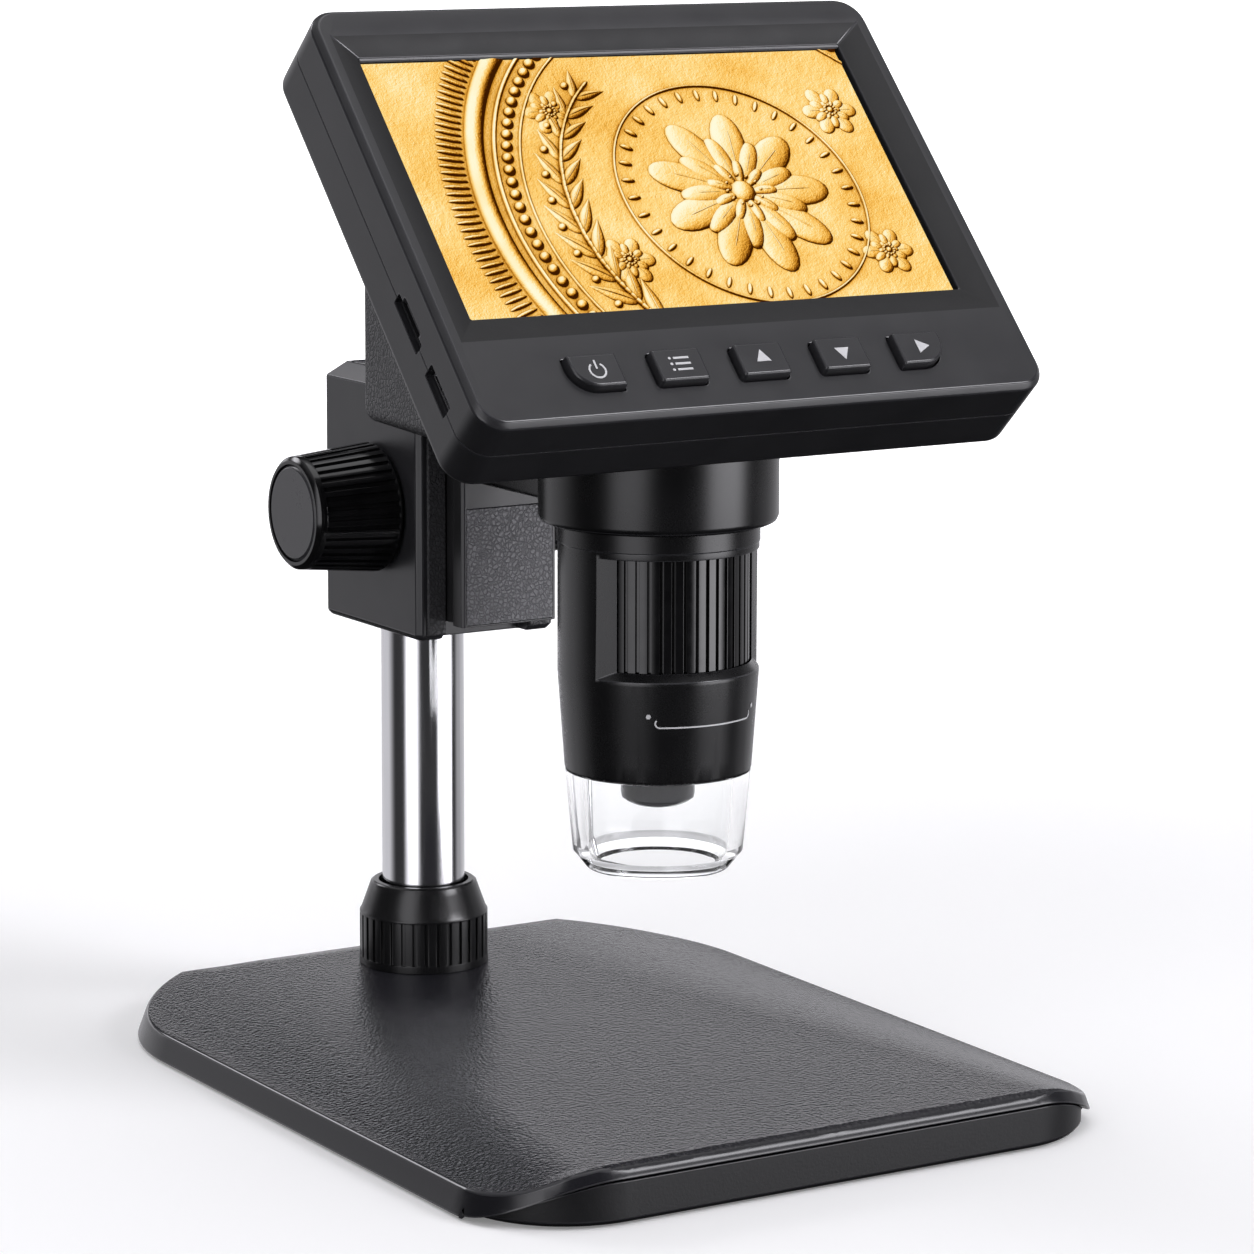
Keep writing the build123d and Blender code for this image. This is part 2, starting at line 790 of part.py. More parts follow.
def knob_blank():
    """Ribbed, tapered knob along +Z; the shaft enters at z=0."""
    start, end = knob_plain_inner, knob_length - knob_plain_outer
    body = turned([
        (0, 0), (knob_radius(0) - 0.3, 0), (knob_radius(start), start),
        (knob_radius(end), end), (knob_radius(knob_length - knob_edge), knob_length - knob_edge),
        (knob_outer_radius - knob_edge, knob_length), (0, knob_length),
    ])
    ribs = []
    for along in (start, end):
        plan = toothed_outline(knob_radius(along), knob_rib_depth, knob_ribs, 0.45)
        ribs.append(Pos(0, 0, along) * plan)
    jacket = turned([
        (0.1, start), (knob_radius(start) + 1, start), (knob_radius(end) + 1, end), (0.1, end),
    ])
    body -= jacket - loft(ribs, ruled=True)
    body -= rod(shaft_radius + fit / 2, -1, knob_bore_depth)
    return body - rod(knob_cap_radius + fit, knob_length - knob_cap_thickness, knob_length + 1)


def knob_place(side):
    return Pos(side * (block_half + bush_flange + knob_gap), knob_y, knob_z)


def knob(side):
    return knob_place(side) * across(knob_blank(), side)


def knob_cap(side):
    """Smooth disc let into the end of the knob."""
    low = knob_length - knob_cap_thickness
    disc = turned([
        (0, low), (knob_cap_radius, low), (knob_cap_radius, knob_length - 0.5),
        (knob_cap_radius - 0.6, knob_length), (0, knob_length),
    ])
    return knob_place(side) * across(disc, side)


# --------------------------------------------------------------------- slide
def focus_slide():
    """Front plate, stem and tee that ride in the channel of the block."""
    flange = brick(-flange_half, flange_half, flange_front, flange_back, slide_bottom, slide_top)
    flange = chamfer(flange.edges().filter_by(Axis.Z), 0.5)
    stem_back = channel_back - slip
    stem = brick(-stem_half, stem_half, flange_back, stem_back, slide_bottom, slide_top)
    neck_half = slot_neck_half - slip
    neck = brick(-neck_half, neck_half, stem_back, neck_back + slip, rack_bottom, rack_top)
    tee_half = slot_tee_half - slip
    tee = brick(-tee_half, tee_half, neck_back + slip, tee_back - slip, rack_bottom, rack_top)
    slide = flange + stem + neck + tee
    slide -= face_plate(fit)
    for x, z in arm_screw_places():
        slide -= Pos(x, flange_front, z) * backwards(rod(arm_screw_radius + fit, -1, 20))
        slide -= Pos(x, stem_back, z) * backwards(rod(arm_screw_head + fit, -2, 1))
    return slide


def face_plate(gap=0.0):
    half = flange_half - face_plate_margin - 0.5 + gap
    return brick(
        -half, half, flange_front - 0.2, flange_front - 0.2 + face_plate_thickness + gap,
        slide_bottom + face_plate_margin - gap, face_plate_top + gap,
    )


def arm_screw_places():
    height = (rack_top + slip + arm_screw_head + slide_top - 1) / 2
    return [(-stem_half + arm_screw_head + 1, height), (stem_half - arm_screw_head - 1, height)]


def head_arm():
    """Short arm with the ring that carries the microscope body."""
    arm = brick(-flange_half, flange_half, body_y, flange_front, arm_bottom, slide_top)
    arm = fillet(arm.edges().filter_by(Axis.Y).group_by(Axis.Z)[0], 1.0)
    holder = turned([
        (0, ring_bottom), (ring_radius - ring_edge, ring_bottom),
        (ring_radius - ring_edge * 0.3, ring_bottom + ring_edge * 0.3),
        (ring_radius, ring_bottom + ring_edge), (ring_radius, ring_top), (0, ring_top),
    ], 0, body_y)
    arm = arm + holder
    arm -= rod(collar_radius + fit, 0, ring_top + 1, 0, body_y)
    for x, z in arm_screw_places():
        arm -= Pos(x, flange_front, z) * backwards(rod(arm_screw_radius + fit, -6, 1))
    for x, y in ring_screw_places():
        arm -= rod(ring_screw_radius + fit, ring_top - ring_screw_bite - 1, ring_top + 1, x, y)
    return arm


def arm_screws():
    seat = channel_back - slip - 2
    length = seat - flange_front + 5.5
    solids = []
    for x, z in arm_screw_places():
        solids.append(Pos(x, seat, z) * backwards(screw(arm_screw_head, 1.8, arm_screw_radius, length)))
    return solids


# ----------------------------------------------------------- microscope body
def ring_screw_places():
    reach = (collar_radius + ring_radius) / 2
    turns = (90, 210, 330)
    return [(reach * cos(radians(t)), body_y + reach * sin(radians(t))) for t in turns]


def body_collar():
    """Upper tube: through the ring and the floor of the rear housing."""
    seat = ring_top + housing_wall
    tube = turned([
        (collar_bore, collar_bottom), (collar_radius, collar_bottom), (collar_radius, seat),
        (collar_flange_radius, seat), (collar_flange_radius, seat + collar_flange_thickness),
        (collar_radius, seat + collar_flange_thickness), (collar_radius, collar_top),
        (collar_bore, collar_top),
    ], 0, body_y)
    rim_front = body_y - collar_radius - slip * 2     # flat towards the sloping front wall
    tube -= brick(-base_width, base_width, -base_depth, rim_front, seat, collar_top)
    for x, y in ring_screw_places():
        tube -= rod(ring_screw_radius + fit, seat - 1, seat + collar_flange_thickness + 1, x, y)
        tube -= rod(ring_screw_head + fit, seat + collar_flange_thickness, collar_top + 1, x, y)
    return tube


def ring_screws():
    seat = ring_top + housing_wall + collar_flange_thickness
    length = seat - ring_top + ring_screw_bite
    return [
        Pos(x, y, seat) * screw(ring_screw_head, 1.0, ring_screw_radius, length)
        for x, y in ring_screw_places()
    ]


def window_cutter():
    """Front opening over the wheel, with bevelled jambs and sill."""
    inner = wheel_radius + wheel_gap
    inner_angle = radians(window_half_angle)
    outer_angle = radians(window_bevel_angle)
    ix, iy = inner * sin(inner_angle), -inner * cos(inner_angle)
    ox, oy = sleeve_radius * sin(outer_angle), -sleeve_radius * cos(outer_angle)
    grow = 1.5
    ex, ey = ox + (ox - ix) * grow, oy + (oy - iy) * grow
    front = -sleeve_radius - 5
    jambs = make_face(Polyline(
        (-ix, iy), (-ex, ey), (-ex, front), (ex, front), (ex, ey), (ix, iy), (0, 0), close=True,
    ))
    opening = Pos(0, 0, window_bottom) * extrude(jambs, window_top - window_bottom)
    below = Pos(0, 0, window_bottom - window_sill) * extrude(jambs, window_sill)
    outer = sleeve_radius
    sill = turned([
        (inner, window_bottom), (outer, window_bottom - window_sill),
        (outer + 3, window_bottom - window_sill), (outer + 3, window_bottom),
    ])
    return Pos(0, body_y, 0) * (opening + (below & sill))


def body_sleeve():
    """Lower tube with the window for the focus wheel."""
    board_top = sleeve_foot + shroud_lip_height + led_board_thickness
    cavity = wheel_radius + wheel_gap
    sleeve = turned([
        (led_board_radius + fit, sleeve_foot), (sleeve_foot_radius - 0.3, sleeve_foot),
        (sleeve_foot_radius, sleeve_foot + 0.5), (sleeve_radius, sleeve_taper_top),
        (sleeve_radius, collar_bottom), (cavity, collar_bottom), (cavity, wheel_floor),
        (sleeve_bore, wheel_floor), (sleeve_bore, board_top + shelf_thickness),
        (shelf_radius, board_top + shelf_thickness), (shelf_radius, board_top),
        (led_board_radius + fit, board_top),
    ], 0, body_y)
    return sleeve - window_cutter()


def focus_wheel():
    low = wheel_floor + wheel_end_gap
    high = collar_bottom - wheel_end_gap
    plan = toothed_outline(wheel_radius, wheel_groove_depth, wheel_ribs, wheel_groove_share)
    wheel = Pos(0, body_y, low) * extrude(plan, high - low)
    return wheel - rod(wheel_bore, low, high, 0, body_y)


def lens_barrel():
    seat = nose_bottom + lens_recess
    return turned([
        (lens_radius + fit, nose_bottom), (nose_radius - 0.3, nose_bottom),
        (nose_radius, nose_bottom + 0.4), (nose_radius, barrel_bottom),
        (barrel_radius - 0.4, barrel_bottom), (barrel_radius, barrel_bottom + 0.4),
        (barrel_radius, barrel_top), (barrel_bore, barrel_top), (barrel_bore, barrel_bottom + 2),
        (lens_radius - 0.8, barrel_bottom + 2), (lens_radius - 0.8, seat + lens_thickness),
        (lens_radius + fit, seat + lens_thickness),
    ], 0, body_y)


def objective_lens():
    """Convex lens, proud of its edge by the crown on the lower side."""
    low = nose_bottom + lens_recess
    high = low + lens_thickness
    bow = ThreePointArc(
        (0, low - lens_crown), (lens_radius * 0.55, low - lens_crown * 0.7), (lens_radius, low),
    )
    rest = Polyline((lens_radius, low), (lens_radius, high), (0, high), (0, low - lens_crown))
    return Pos(0, body_y, 0) * revolve(Plane.XZ * make_face([bow, rest]), Axis.Z)


def led_board():
    low = sleeve_foot + shroud_lip_height
    return ring(led_board_radius, led_board_bore, low, low + led_board_thickness, 0, body_y)


def led_lamps():
    low = sleeve_foot + shroud_lip_height - led_height
    lamps = []
    for index in range(led_count):
        turn = 360 * (index + 0.5) / led_count
        lamp = Pos(led_circle, 0, low + led_height / 2) * Box(led_size, led_size, led_height)
        lamps.append(Pos(0, body_y, 0) * Rot(0, 0, turn) * lamp)
    return lamps


def clear_shroud():
    """Clear tapered shroud under the body, with a bevelled foot ring."""
    top = sleeve_foot
    inner_top = led_board_radius - 0.8
    return turned([
        (inner_top, top + shroud_lip_height), (led_board_radius, top + shroud_lip_height),
        (led_board_radius, top), (sleeve_foot_radius - 0.1, top), (shroud_waist_radius, shroud_waist),
        (shroud_tip_radius, shroud_bottom), (shroud_tip_radius - shroud_wall + 0.4, shroud_bottom),
        (shroud_waist_radius - shroud_wall, shroud_waist + 0.8),
    ], 0, body_y)


def sensor_board():
    """Image sensor on its board, facing down the tube."""
    plate = brick(
        -sensor_board_size / 2, sensor_board_size / 2, body_y - sensor_board_size / 2,
        body_y + sensor_board_size / 2, collar_top, collar_top + sensor_board_thickness,
    )
    plate &= rod(collar_radius - 1, collar_top - 1, collar_top + 3, 0, body_y)
    half = sensor_size / 2
    chip = brick(-half, half, body_y - half, body_y + half, collar_top - sensor_height, collar_top)
    return plate + chip


# -------------------------------------------------------------- display head
def head_outline(inset):
    height = head_top - head_bottom
    plan = RectangleRounded(head_width - 2 * inset, height - 2 * inset, head_corner - inset)
    return Pos(0, (head_top + head_bottom) / 2) * plan


def head_slab(inset, low, high):
    return Pos(0, 0, low) * extrude(head_outline(inset), high - low)


def glass_block(gap, low, high):
    return Pos(0, 0, (low + high) / 2) * Box(glass_width + 2 * gap, glass_height + 2 * gap, high - low)


def screen_rim():
    """Sloped frame round the glass, from the bezel face down to the glass."""
    inner = Rectangle(glass_width + 2 * fit, glass_height + 2 * fit)
    outer_height = glass_height + rim_above + rim_below
    outer = Pos(0, (rim_above - rim_below) / 2) * Rectangle(glass_width + 2 * rim_width, outer_height)
    return loft([inner, Pos(0, 0, face_height) * outer], ruled=True)


def case_boss_places():
    """Bosses in the four corners, joined to both walls."""
    inset = head_wall + case_boss_radius - case_boss_merge
    u = head_width / 2 - inset
    return [(side * u, v) for side in (-1, 1) for v in (head_bottom + inset, head_top - inset)]


def button_centres():
    return [(index - 2) * button_pitch for index in range(5)]


def button_plan(index, grow=0.0):
    """Key outline; the outermost keys have one large lower corner."""
    plan = Rectangle(button_width + 2 * grow, button_height + 2 * grow)
    bowed = {0: 0, 4: 1}.get(index)
    bottom = plan.vertices().group_by(Axis.Y)[0].sort_by(Axis.X)
    if bowed is None:
        plan = fillet(plan.vertices(), button_corner + grow)
    else:
        plan = fillet([bottom[bowed]], button_bow + grow)
    return Pos(button_centres()[index], button_v) * plan


def key_post_places():
    return [(side * button_pitch * step, button_v) for side in (-1, 1) for step in (0.5, 1.5)]


def port_openings():
    """Cut-outs in the left wall for the two sockets, across the parting."""
    outer = -head_width / 2
    base = main_board_face
    usb = brick(
        outer - 1, outer + usb_setback + usb_depth + port_gap, usb_v - usb_width / 2 - port_gap,
        usb_v + usb_width / 2 + port_gap, base - port_gap, base + usb_height + port_gap,
    )
    card = brick(
        outer - 1, outer + card_depth + port_gap, card_v - card_width / 2 - port_gap,
        card_v + card_width / 2 + port_gap, base - port_gap, base + card_height + port_gap,
    )
    scoop = Pos(outer - scoop_radius * 0.72, card_v, base + card_height) * Cylinder(scoop_radius, 2.6)
    return usb + card + scoop


def front_bezel():
    shell = head_slab(0, parting, face_height)
    shell = chamfer(shell.edges().group_by(Axis.Z)[-1], face_edge)
    inner_face = -glass_thickness
    shell -= head_slab(head_wall, parting - 1, inner_face)
    shell -= screen_rim()
    shell -= glass_block(fit, inner_face - 1, 0)
    for u, v in case_boss_places():
        shell += rod(case_boss_radius, parting, inner_face, u, v)
        shell -= rod(case_screw_radius + fit, parting, inner_face, u, v)
    for u, v in key_post_places():
        shell += rod(key_post_radius, key_board_face, inner_face, u, v)
    for index in range(5):
        hole = extrude(button_plan(index, button_gap), face_height - inner_face + 2)
        shell -= Pos(0, 0, inner_face - 1) * hole
    return on_screen(shell - port_openings())


def back_cover():
    shell = head_slab(0, rear_face, parting)
    shell = fillet(shell.edges().group_by(Axis.Z)[0], rear_edge)
    floor = rear_face + head_wall
    shell -= head_slab(head_wall, floor, parting + 1)
    for u, v in case_boss_places():
        shell += rod(case_boss_radius, floor, parting, u, v)
        shell -= rod(case_screw_radius + fit, rear_face - 1, parting + 1, u, v)
        shell -= rod(case_screw_head + fit, rear_face - 1, floor - 0.6, u, v)
    back = main_board_face - main_board_thickness
    for u, v in board_screw_places:
        shell += rod(board_boss_radius, floor, back, u, v)
        shell -= rod(board_screw_radius + fit, floor, back, u, v)
    for u, v in housing_screw_places():
        shell -= rod(housing_screw_radius + fit, rear_face - 1, floor + 1, u, v)
    shell -= brick(-8, 8, -6, -2, rear_face - 1, floor + 1)
    return on_screen(shell - port_openings())


def case_screws():
    """Screws from the back, through the cover into the bezel."""
    seat = rear_face + head_wall - 0.6
    length = parting - seat + 3.5
    solids = []
    for u, v in case_boss_places():
        body = Rot(180, 0, 0) * screw(case_screw_head, 1.0, case_screw_radius, length)
        solids.append(on_screen(Pos(u, v, seat) * body))
    return solids


def screen_glass():
    return on_screen(glass_block(0, -glass_thickness, 0))


def lcd_panel():
    centre = Pos(0, 0, -glass_thickness - lcd_thickness / 2)
    return on_screen(centre * Box(lcd_width, lcd_height, lcd_thickness))


def main_board():
    height = main_board_top - main_board_bottom
    centre = Pos(0, (main_board_top + main_board_bottom) / 2, main_board_face - main_board_thickness / 2)
    board = centre * Box(main_board_width, height, main_board_thickness)
    for u, v in board_screw_places:
        board -= rod(board_screw_radius + fit, main_board_face - 5, main_board_face + 1, u, v)
    half = processor_size / 2
    chip_face = main_board_face + chip_thickness
    processor = brick(-half, half, 0, processor_size, main_board_face, chip_face)
    memory_side = processor_size
    memory = brick(memory_side, memory_side + memory_width, 0, memory_height, main_board_face, chip_face)
    return on_screen(board + processor + memory)


def board_screws():
    return [
        on_screen(Pos(u, v, main_board_face) * screw(board_screw_head, 0.9, board_screw_radius, 4))
        for u, v in board_screw_places
    ]


def button(index):
    """Key cap with a retaining flange behind the bezel."""
    inner_face = -glass_thickness
    back = inner_face - fit - button_flange_thickness
    cap = Pos(0, 0, inner_face - fit) * extrude(button_plan(index), button_face - inner_face + fit)
    cap = chamfer(cap.edges().group_by(Axis.Z)[-1], 0.35)
    flange = Pos(0, 0, back) * extrude(button_plan(index, button_flange), button_flange_thickness)
    return on_screen(cap + flange)


def key_board():
    low = key_board_face - key_board_thickness
    centre = Pos(0, button_v, low + key_board_thickness / 2)
    return on_screen(centre * Box(key_board_width, key_board_height, key_board_thickness))


def key_switches():
    """One dome switch behind each key, just clear of the pressed key."""
    inner_face = -glass_thickness
    top = inner_face - fit - button_flange_thickness - button_travel - fit
    solids = []
    for u in button_centres():
        middle = Pos(u, button_v, (key_board_face + top) / 2)
        solids.append(on_screen(middle * Box(switch_size, switch_size, top - key_board_face)))
    return solids


def usb_port():
    """Metal shell of the USB socket with its tongue."""
    outer = -head_width / 2 + usb_setback
    base = main_board_face
    low, high = usb_v - usb_width / 2, usb_v + usb_width / 2
    shell = brick(outer, outer + usb_depth, low, high, base, base + usb_height)
    shell -= brick(
        outer - 1, outer + usb_depth - 1, low + usb_wall, high - usb_wall,
        base + usb_wall, base + usb_height - usb_wall,
    )
    middle = base + usb_height / 2
    tongue = brick(outer + 1.2, outer + usb_depth, low + 1.4, high - 1.4, middle - 0.3, middle + 0.3)
    return on_screen(shell + tongue)


def card_socket():
    """Memory card socket behind the finger scoop."""
    outer = -head_width / 2 + head_wall * 0.5
    base = main_board_face
    half = card_width / 2
    shell = brick(outer, outer + card_depth - 1, card_v - half, card_v + half, base, base + card_height)
    middle = base + card_height / 2
    slot = brick(
        outer - 1, outer + card_depth - 3, card_v - half + 0.5, card_v + half - 0.5,
        middle - card_slot / 2, middle + card_slot / 2,
    )
    return on_screen(shell - slot)


# ------------------------------------------------------------- rear housing
def side_point(v, w):
    """(y, z) of a point over the middle of the screen."""
    lean = radians(screen_tilt)
    y = screen_y + v * sin(lean) - w * cos(lean)
    return y, screen_z + v * cos(lean) + w * sin(lean)


def housing_side(y, inset=0.0):
    """Half width of the housing at this depth."""
    return housing_half - inset + (housing_back - y) * tan(radians(housing_flare))


def housing_screw_places():
    """Screws run close to the side walls, so that their bosses join them."""
    places = []
    for v in housing_screw_heights:
        y = side_point(v, rear_face - housing_screw_bite)[0]
        u = housing_side(y, housing_wall) - housing_boss_radius * 0.5
        places += [(-u, v), (u, v)]
    return places


def housing_body(inset):
    """Wedge behind the screen; the inset gives its inner surface."""
    top_v = housing_top_v - inset
    front_v = housing_front_v + inset
    low = housing_bottom + inset
    back = housing_back - inset
    upper = side_point(top_v, rear_face)
    lower = side_point(front_v, rear_face)
    lower_corner = (lower[0] + max(lower[1] - low, 0.5), low)
    profile = make_face(Polyline(
        (back, low), (back, housing_back_top - inset), upper, lower, lower_corner, close=True,
    ))
    wedge = extrude(Plane.YZ * profile, 60, both=True)
    front = lower[0] - 5
    half_back = housing_side(back, inset)
    half_front = housing_side(front, inset)
    plan = make_face(Polyline(
        (-half_back, back), (half_back, back), (half_front, front), (-half_front, front), close=True,
    ))
    corner = max(housing_edge - inset, 0.5)
    plan = fillet(plan.vertices().group_by(Axis.Y)[-1], corner)
    wedge &= extrude(plan, 2 * housing_back_top)
    bottom_edges = wedge.faces().sort_by(Axis.Z)[0].edges()
    back_bottom = bottom_edges.filter_by(Axis.X).sort_by(Axis.Y)[-1:]
    return fillet(back_bottom, corner * 0.9)


def rear_housing():
    shell = housing_body(0)
    hollow = housing_body(housing_wall)
    shell -= hollow
    shell -= rod(collar_radius + fit, 0, ring_top + housing_wall + 1, 0, body_y)
    for u, v in housing_screw_places():
        boss = rod(housing_boss_radius, rear_face - housing_screw_bite - 1, rear_face, u, v)
        boss = on_screen(boss) & housing_body(0)
        shell += boss
        hole = rod(housing_screw_radius + fit, rear_face - housing_screw_bite, rear_face + 1, u, v)
        shell -= on_screen(hole)
    for x, y in ring_screw_places():
        shell -= rod(ring_screw_radius + fit, 0, ring_top + housing_wall + 1, x, y)
    return shell


def housing_screws():
    seat = rear_face + head_wall
    length = head_wall + housing_screw_bite - fit
    return [
        on_screen(Pos(u, v, seat) * screw(housing_screw_head, 1.2, housing_screw_radius, length))
        for u, v in housing_screw_places()
    ]


def battery():
    """Flat cell on the back wall of the housing."""
    back = housing_back - housing_wall
    low = housing_bottom + housing_wall + 1
    half = battery_width / 2
    pack = brick(-half, half, back - battery_thickness, back, low, low + battery_height)
    return fillet(pack.edges().filter_by(Axis.Z), 1.5)


# --------------------------------------------------------------------- write
save("base_cover", base_cover())
save("base_tray", base_tray())
save("ballast_plate", ballast_plate())
save("rubber_feet", *rubber_feet())
save("base_screws", *base_screws())
save("post", post())
save("post_screw", post_screw())
save("post_collet", post_collet())
save("clamp_nut", clamp_nut())
save("focus_block", focus_block())
save("block_cap", block_cap())
save("cap_screws", *cap_screws())
save("cheek_plates", *cheek_plates())
save("block_grub", block_grub())
save("shaft_bushes", *shaft_bushes())
save("pinion_shaft", pinion_shaft())
save("knob_left", knob(-1))
save("knob_right", knob(1))
save("knob_cap_left", knob_cap(-1))
save("knob_cap_right", knob_cap(1))
save("focus_slide", focus_slide())
save("slide_face_plate", face_plate())
save("focus_rack", focus_rack())
save("head_arm", head_arm())
save("arm_screws", *arm_screws())
save("body_collar", body_collar())
save("ring_screws", *ring_screws())
save("body_sleeve", body_sleeve())
save("focus_wheel", focus_wheel())
save("lens_barrel", lens_barrel())
save("objective_lens", objective_lens())
save("led_board", led_board())
save("led_lamps", *led_lamps())
save("clear_shroud", clear_shroud())
save("sensor_board", sensor_board())
save("front_bezel", front_bezel())
save("back_cover", back_cover())
save("case_screws", *case_screws())
save("screen_glass", screen_glass())
save("lcd_panel", lcd_panel())
save("main_board", main_board())
save("board_screws", *board_screws())
save("key_board", key_board())
save("key_switches", *key_switches())
save("usb_port", usb_port())
save("card_socket", card_socket())
save("rear_housing", rear_housing())
save("housing_screws", *housing_screws())
save("battery", battery())
for number, name in enumerate(("power", "menu", "up", "down", "play")):
    save(f"button_{name}", button(number))
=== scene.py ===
from math import cos, hypot, pi, radians, sin

import bmesh
import bpy
from mathutils import Matrix, Vector


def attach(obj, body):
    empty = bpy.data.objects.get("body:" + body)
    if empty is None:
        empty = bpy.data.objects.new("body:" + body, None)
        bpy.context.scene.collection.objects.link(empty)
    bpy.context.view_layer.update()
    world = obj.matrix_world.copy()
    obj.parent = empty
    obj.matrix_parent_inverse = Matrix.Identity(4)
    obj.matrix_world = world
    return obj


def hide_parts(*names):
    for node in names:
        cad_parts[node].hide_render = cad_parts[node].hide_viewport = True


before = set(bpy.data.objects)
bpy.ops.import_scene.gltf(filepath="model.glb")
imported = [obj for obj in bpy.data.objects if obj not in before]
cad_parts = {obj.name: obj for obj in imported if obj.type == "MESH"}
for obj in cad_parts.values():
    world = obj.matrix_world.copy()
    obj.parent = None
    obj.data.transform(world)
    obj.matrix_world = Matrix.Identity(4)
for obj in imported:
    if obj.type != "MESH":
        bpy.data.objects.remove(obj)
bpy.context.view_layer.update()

MM = 0.001

# ------------------------------------------------------------------ sizes, mm
SCREEN_TILT = 43.0            # the screen leans back from upright
SCREEN_CENTRE = (0.0, -29.41, 161.4)
SCREEN_WIDTH = 95.6
SCREEN_HEIGHT = 54.6
RECESS_HALF = 52.7            # sides of the slope round the glass
RECESS_TOP = 30.8
RECESS_BOTTOM = -33.2
RECESS_BACK = -20.0           # well behind the glass
RECESS_RIM = 1.93             # just under the bezel's face
KEYS = ("power", "menu", "up", "down", "play")
KEY_FACE = 3.6                # tops of the keys over the glass
KEY_PITCH = 15.8
KEY_ROW = -41.3
PRINT = 0.05                  # thickness of printed marks
PRINT_SINK = 0.02             # printed marks start this far inside their key
BODY_Y = -28.21               # axis of the microscope's body
SLEEVE_RADIUS = 17.2
SLEEVE_FOOT_RADIUS = 16.0
SLEEVE_FOOT = 60.0
SLEEVE_TAPER_TOP = 77.0

# Sections of the turned pieces: radius and height of each corner.
SHROUD_STEPS = 128
SHROUD_EDGE = 0.12
SHROUD_OUTLINE = (
    (12.8, 60.4), (13.6, 60.4), (13.6, 60.0), (15.9, 60.0), (14.6, 45.9), (12.3, 43.0),
    (10.3, 43.0), (12.2, 46.7),
)
LENS_STEPS = 64
LENS_OUTLINE = (
    (0.0, 53.6), (2.4, 53.75), (4.2, 54.2), (5.5, 54.85), (6.15, 55.4), (6.35, 56.4),
    (6.35, 58.6), (0.0, 58.6),
)

# ------------------------------------------- medal shown on the display, mm
PICTURE_GROUND = -1.35        # ground of the relief, behind the face of the glass
PICTURE_GAP = 0.05            # between the picture and the edge of the glass
MEDAL_CENTRE = (17.0, -7.0)
MEDAL_RADIUS = 52.0
MEDAL_BEADS = 110
MEDAL_REEDS = 240
FLOWER_CENTRE = (15.0, -3.5)
FLOWER_RADIUS = 17.5
FLOWER_TICKS = 36             # short strokes in the ring round the large flower
SMALL_FLOWERS = (             # place and radius
    (-15.5, 15.5, 5.2), (-13.0, -16.5, 5.2), (40.5, 13.5, 5.6), (38.5, -17.5, 5.2),
)
FIELD_EDGE = 0.86             # the field rises up to this share of the medal's radius
FIELD_RISE = 0.30
GROUND_LIFT = 0.02

# ------------------------------------------------------ mark on the body, mm
MARK_HEIGHT = 70.0
MARK_HALF = 0.13              # half of the line's width
MARK_SPAN = 31.0              # degrees to each side of the front
MARK_RADIUS = 16.5            # of the sleeve near the mark
HOOK_RADIUS = 0.75
HOOK_TURN = 135.0             # degrees
DOT_RADIUS = 0.42
DOT_RISE = 1.9
DOT_BEYOND = 6.5              # degrees past the end of the line

# -------------------------------------------------------------- rounded edges
JOIN_GAP = 0.0005             # mm: points closer than this are one
MERGE_GAP = 0.0001            # mm, between the doubles of a turned section
FLAT_ANGLE = 0.2              # degrees: faces closer than this are one flat
ROUND_ANGLE = 34              # degrees: sharper edges than this are rounded
SHARP_ANGLE = 32              # degrees: sharper edges than this stay hard in the shading
FLAT_WEIGHT = 80              # how strongly large flats keep their shading
USUAL_EDGE = 0.15             # mm

# ----------------------------------------------------------- camera, mm and degrees
CAMERA_PLACE = (-406.9, -678.51, 219.3)
CAMERA_TURN = -31.0           # from looking along +Y
CAMERA_DROP = 7.52            # below the horizon
CAMERA_LENS = 131.0
CAMERA_FILM = 36.0
CAMERA_SHIFT = (0.0399, -0.1568)

# ------------------------------------------------------------ lighting, metres
PAPER_HALF = 14.0
PAPER_NEAR = 0.16             # the paper glows faintly up to here,
PAPER_FAR = 1.0               # and fully from here on
PAPER_GLOW = 0.17
OVERHEAD_PLACE = (0.25, 0.15, 1.8)
OVERHEAD_AIM = (0, 0, 0.05)
OVERHEAD_SIZE = 1.3
OVERHEAD_POWER = 5
UNDERFOOT = 0.02
TENT_DARK = 0.05
TENT_ROOF = 0.60
TENT_COLOUR = (0.965, 0.955, 1.0, 1.0)   # faintly cool
BOX_FEATHER = 0.05            # softness of a light box's upper and lower edge
LIGHT_BOXES = (               # bearings in degrees from +X; heights are sines of elevation
    {"bearing": -150, "half": 17, "soft": 9, "heights": (-0.26, 0.75), "glow": 2.2},
    {"bearing": -54, "half": 19, "soft": 8, "heights": (-0.24, 0.10), "glow": 5.4},
    {"bearing": -54, "half": 19, "soft": 8, "heights": (0.10, 0.45), "glow": 0.7},
    {"bearing": -52, "half": 13, "soft": 6, "heights": (0.42, 0.70), "glow": 11.0},
    {"bearing": 80, "half": 62, "soft": 16, "heights": (-0.40, 0.08), "glow": 0.66},
    {"bearing": 72, "half": 50, "soft": 16, "heights": (0.10, 0.27), "glow": 1.36},
    {"bearing": 108, "half": 12, "soft": 6, "heights": (0.42, 0.62), "glow": 6.0},
    {"bearing": 3, "half": 16, "soft": 9, "heights": (-0.40, 0.45), "glow": 0.36},
)

# Sockets of a Mix node that mixes colours.
MIX_FACTOR, MIX_FIRST, MIX_SECOND, MIX_RESULT = 0, 6, 7, 2


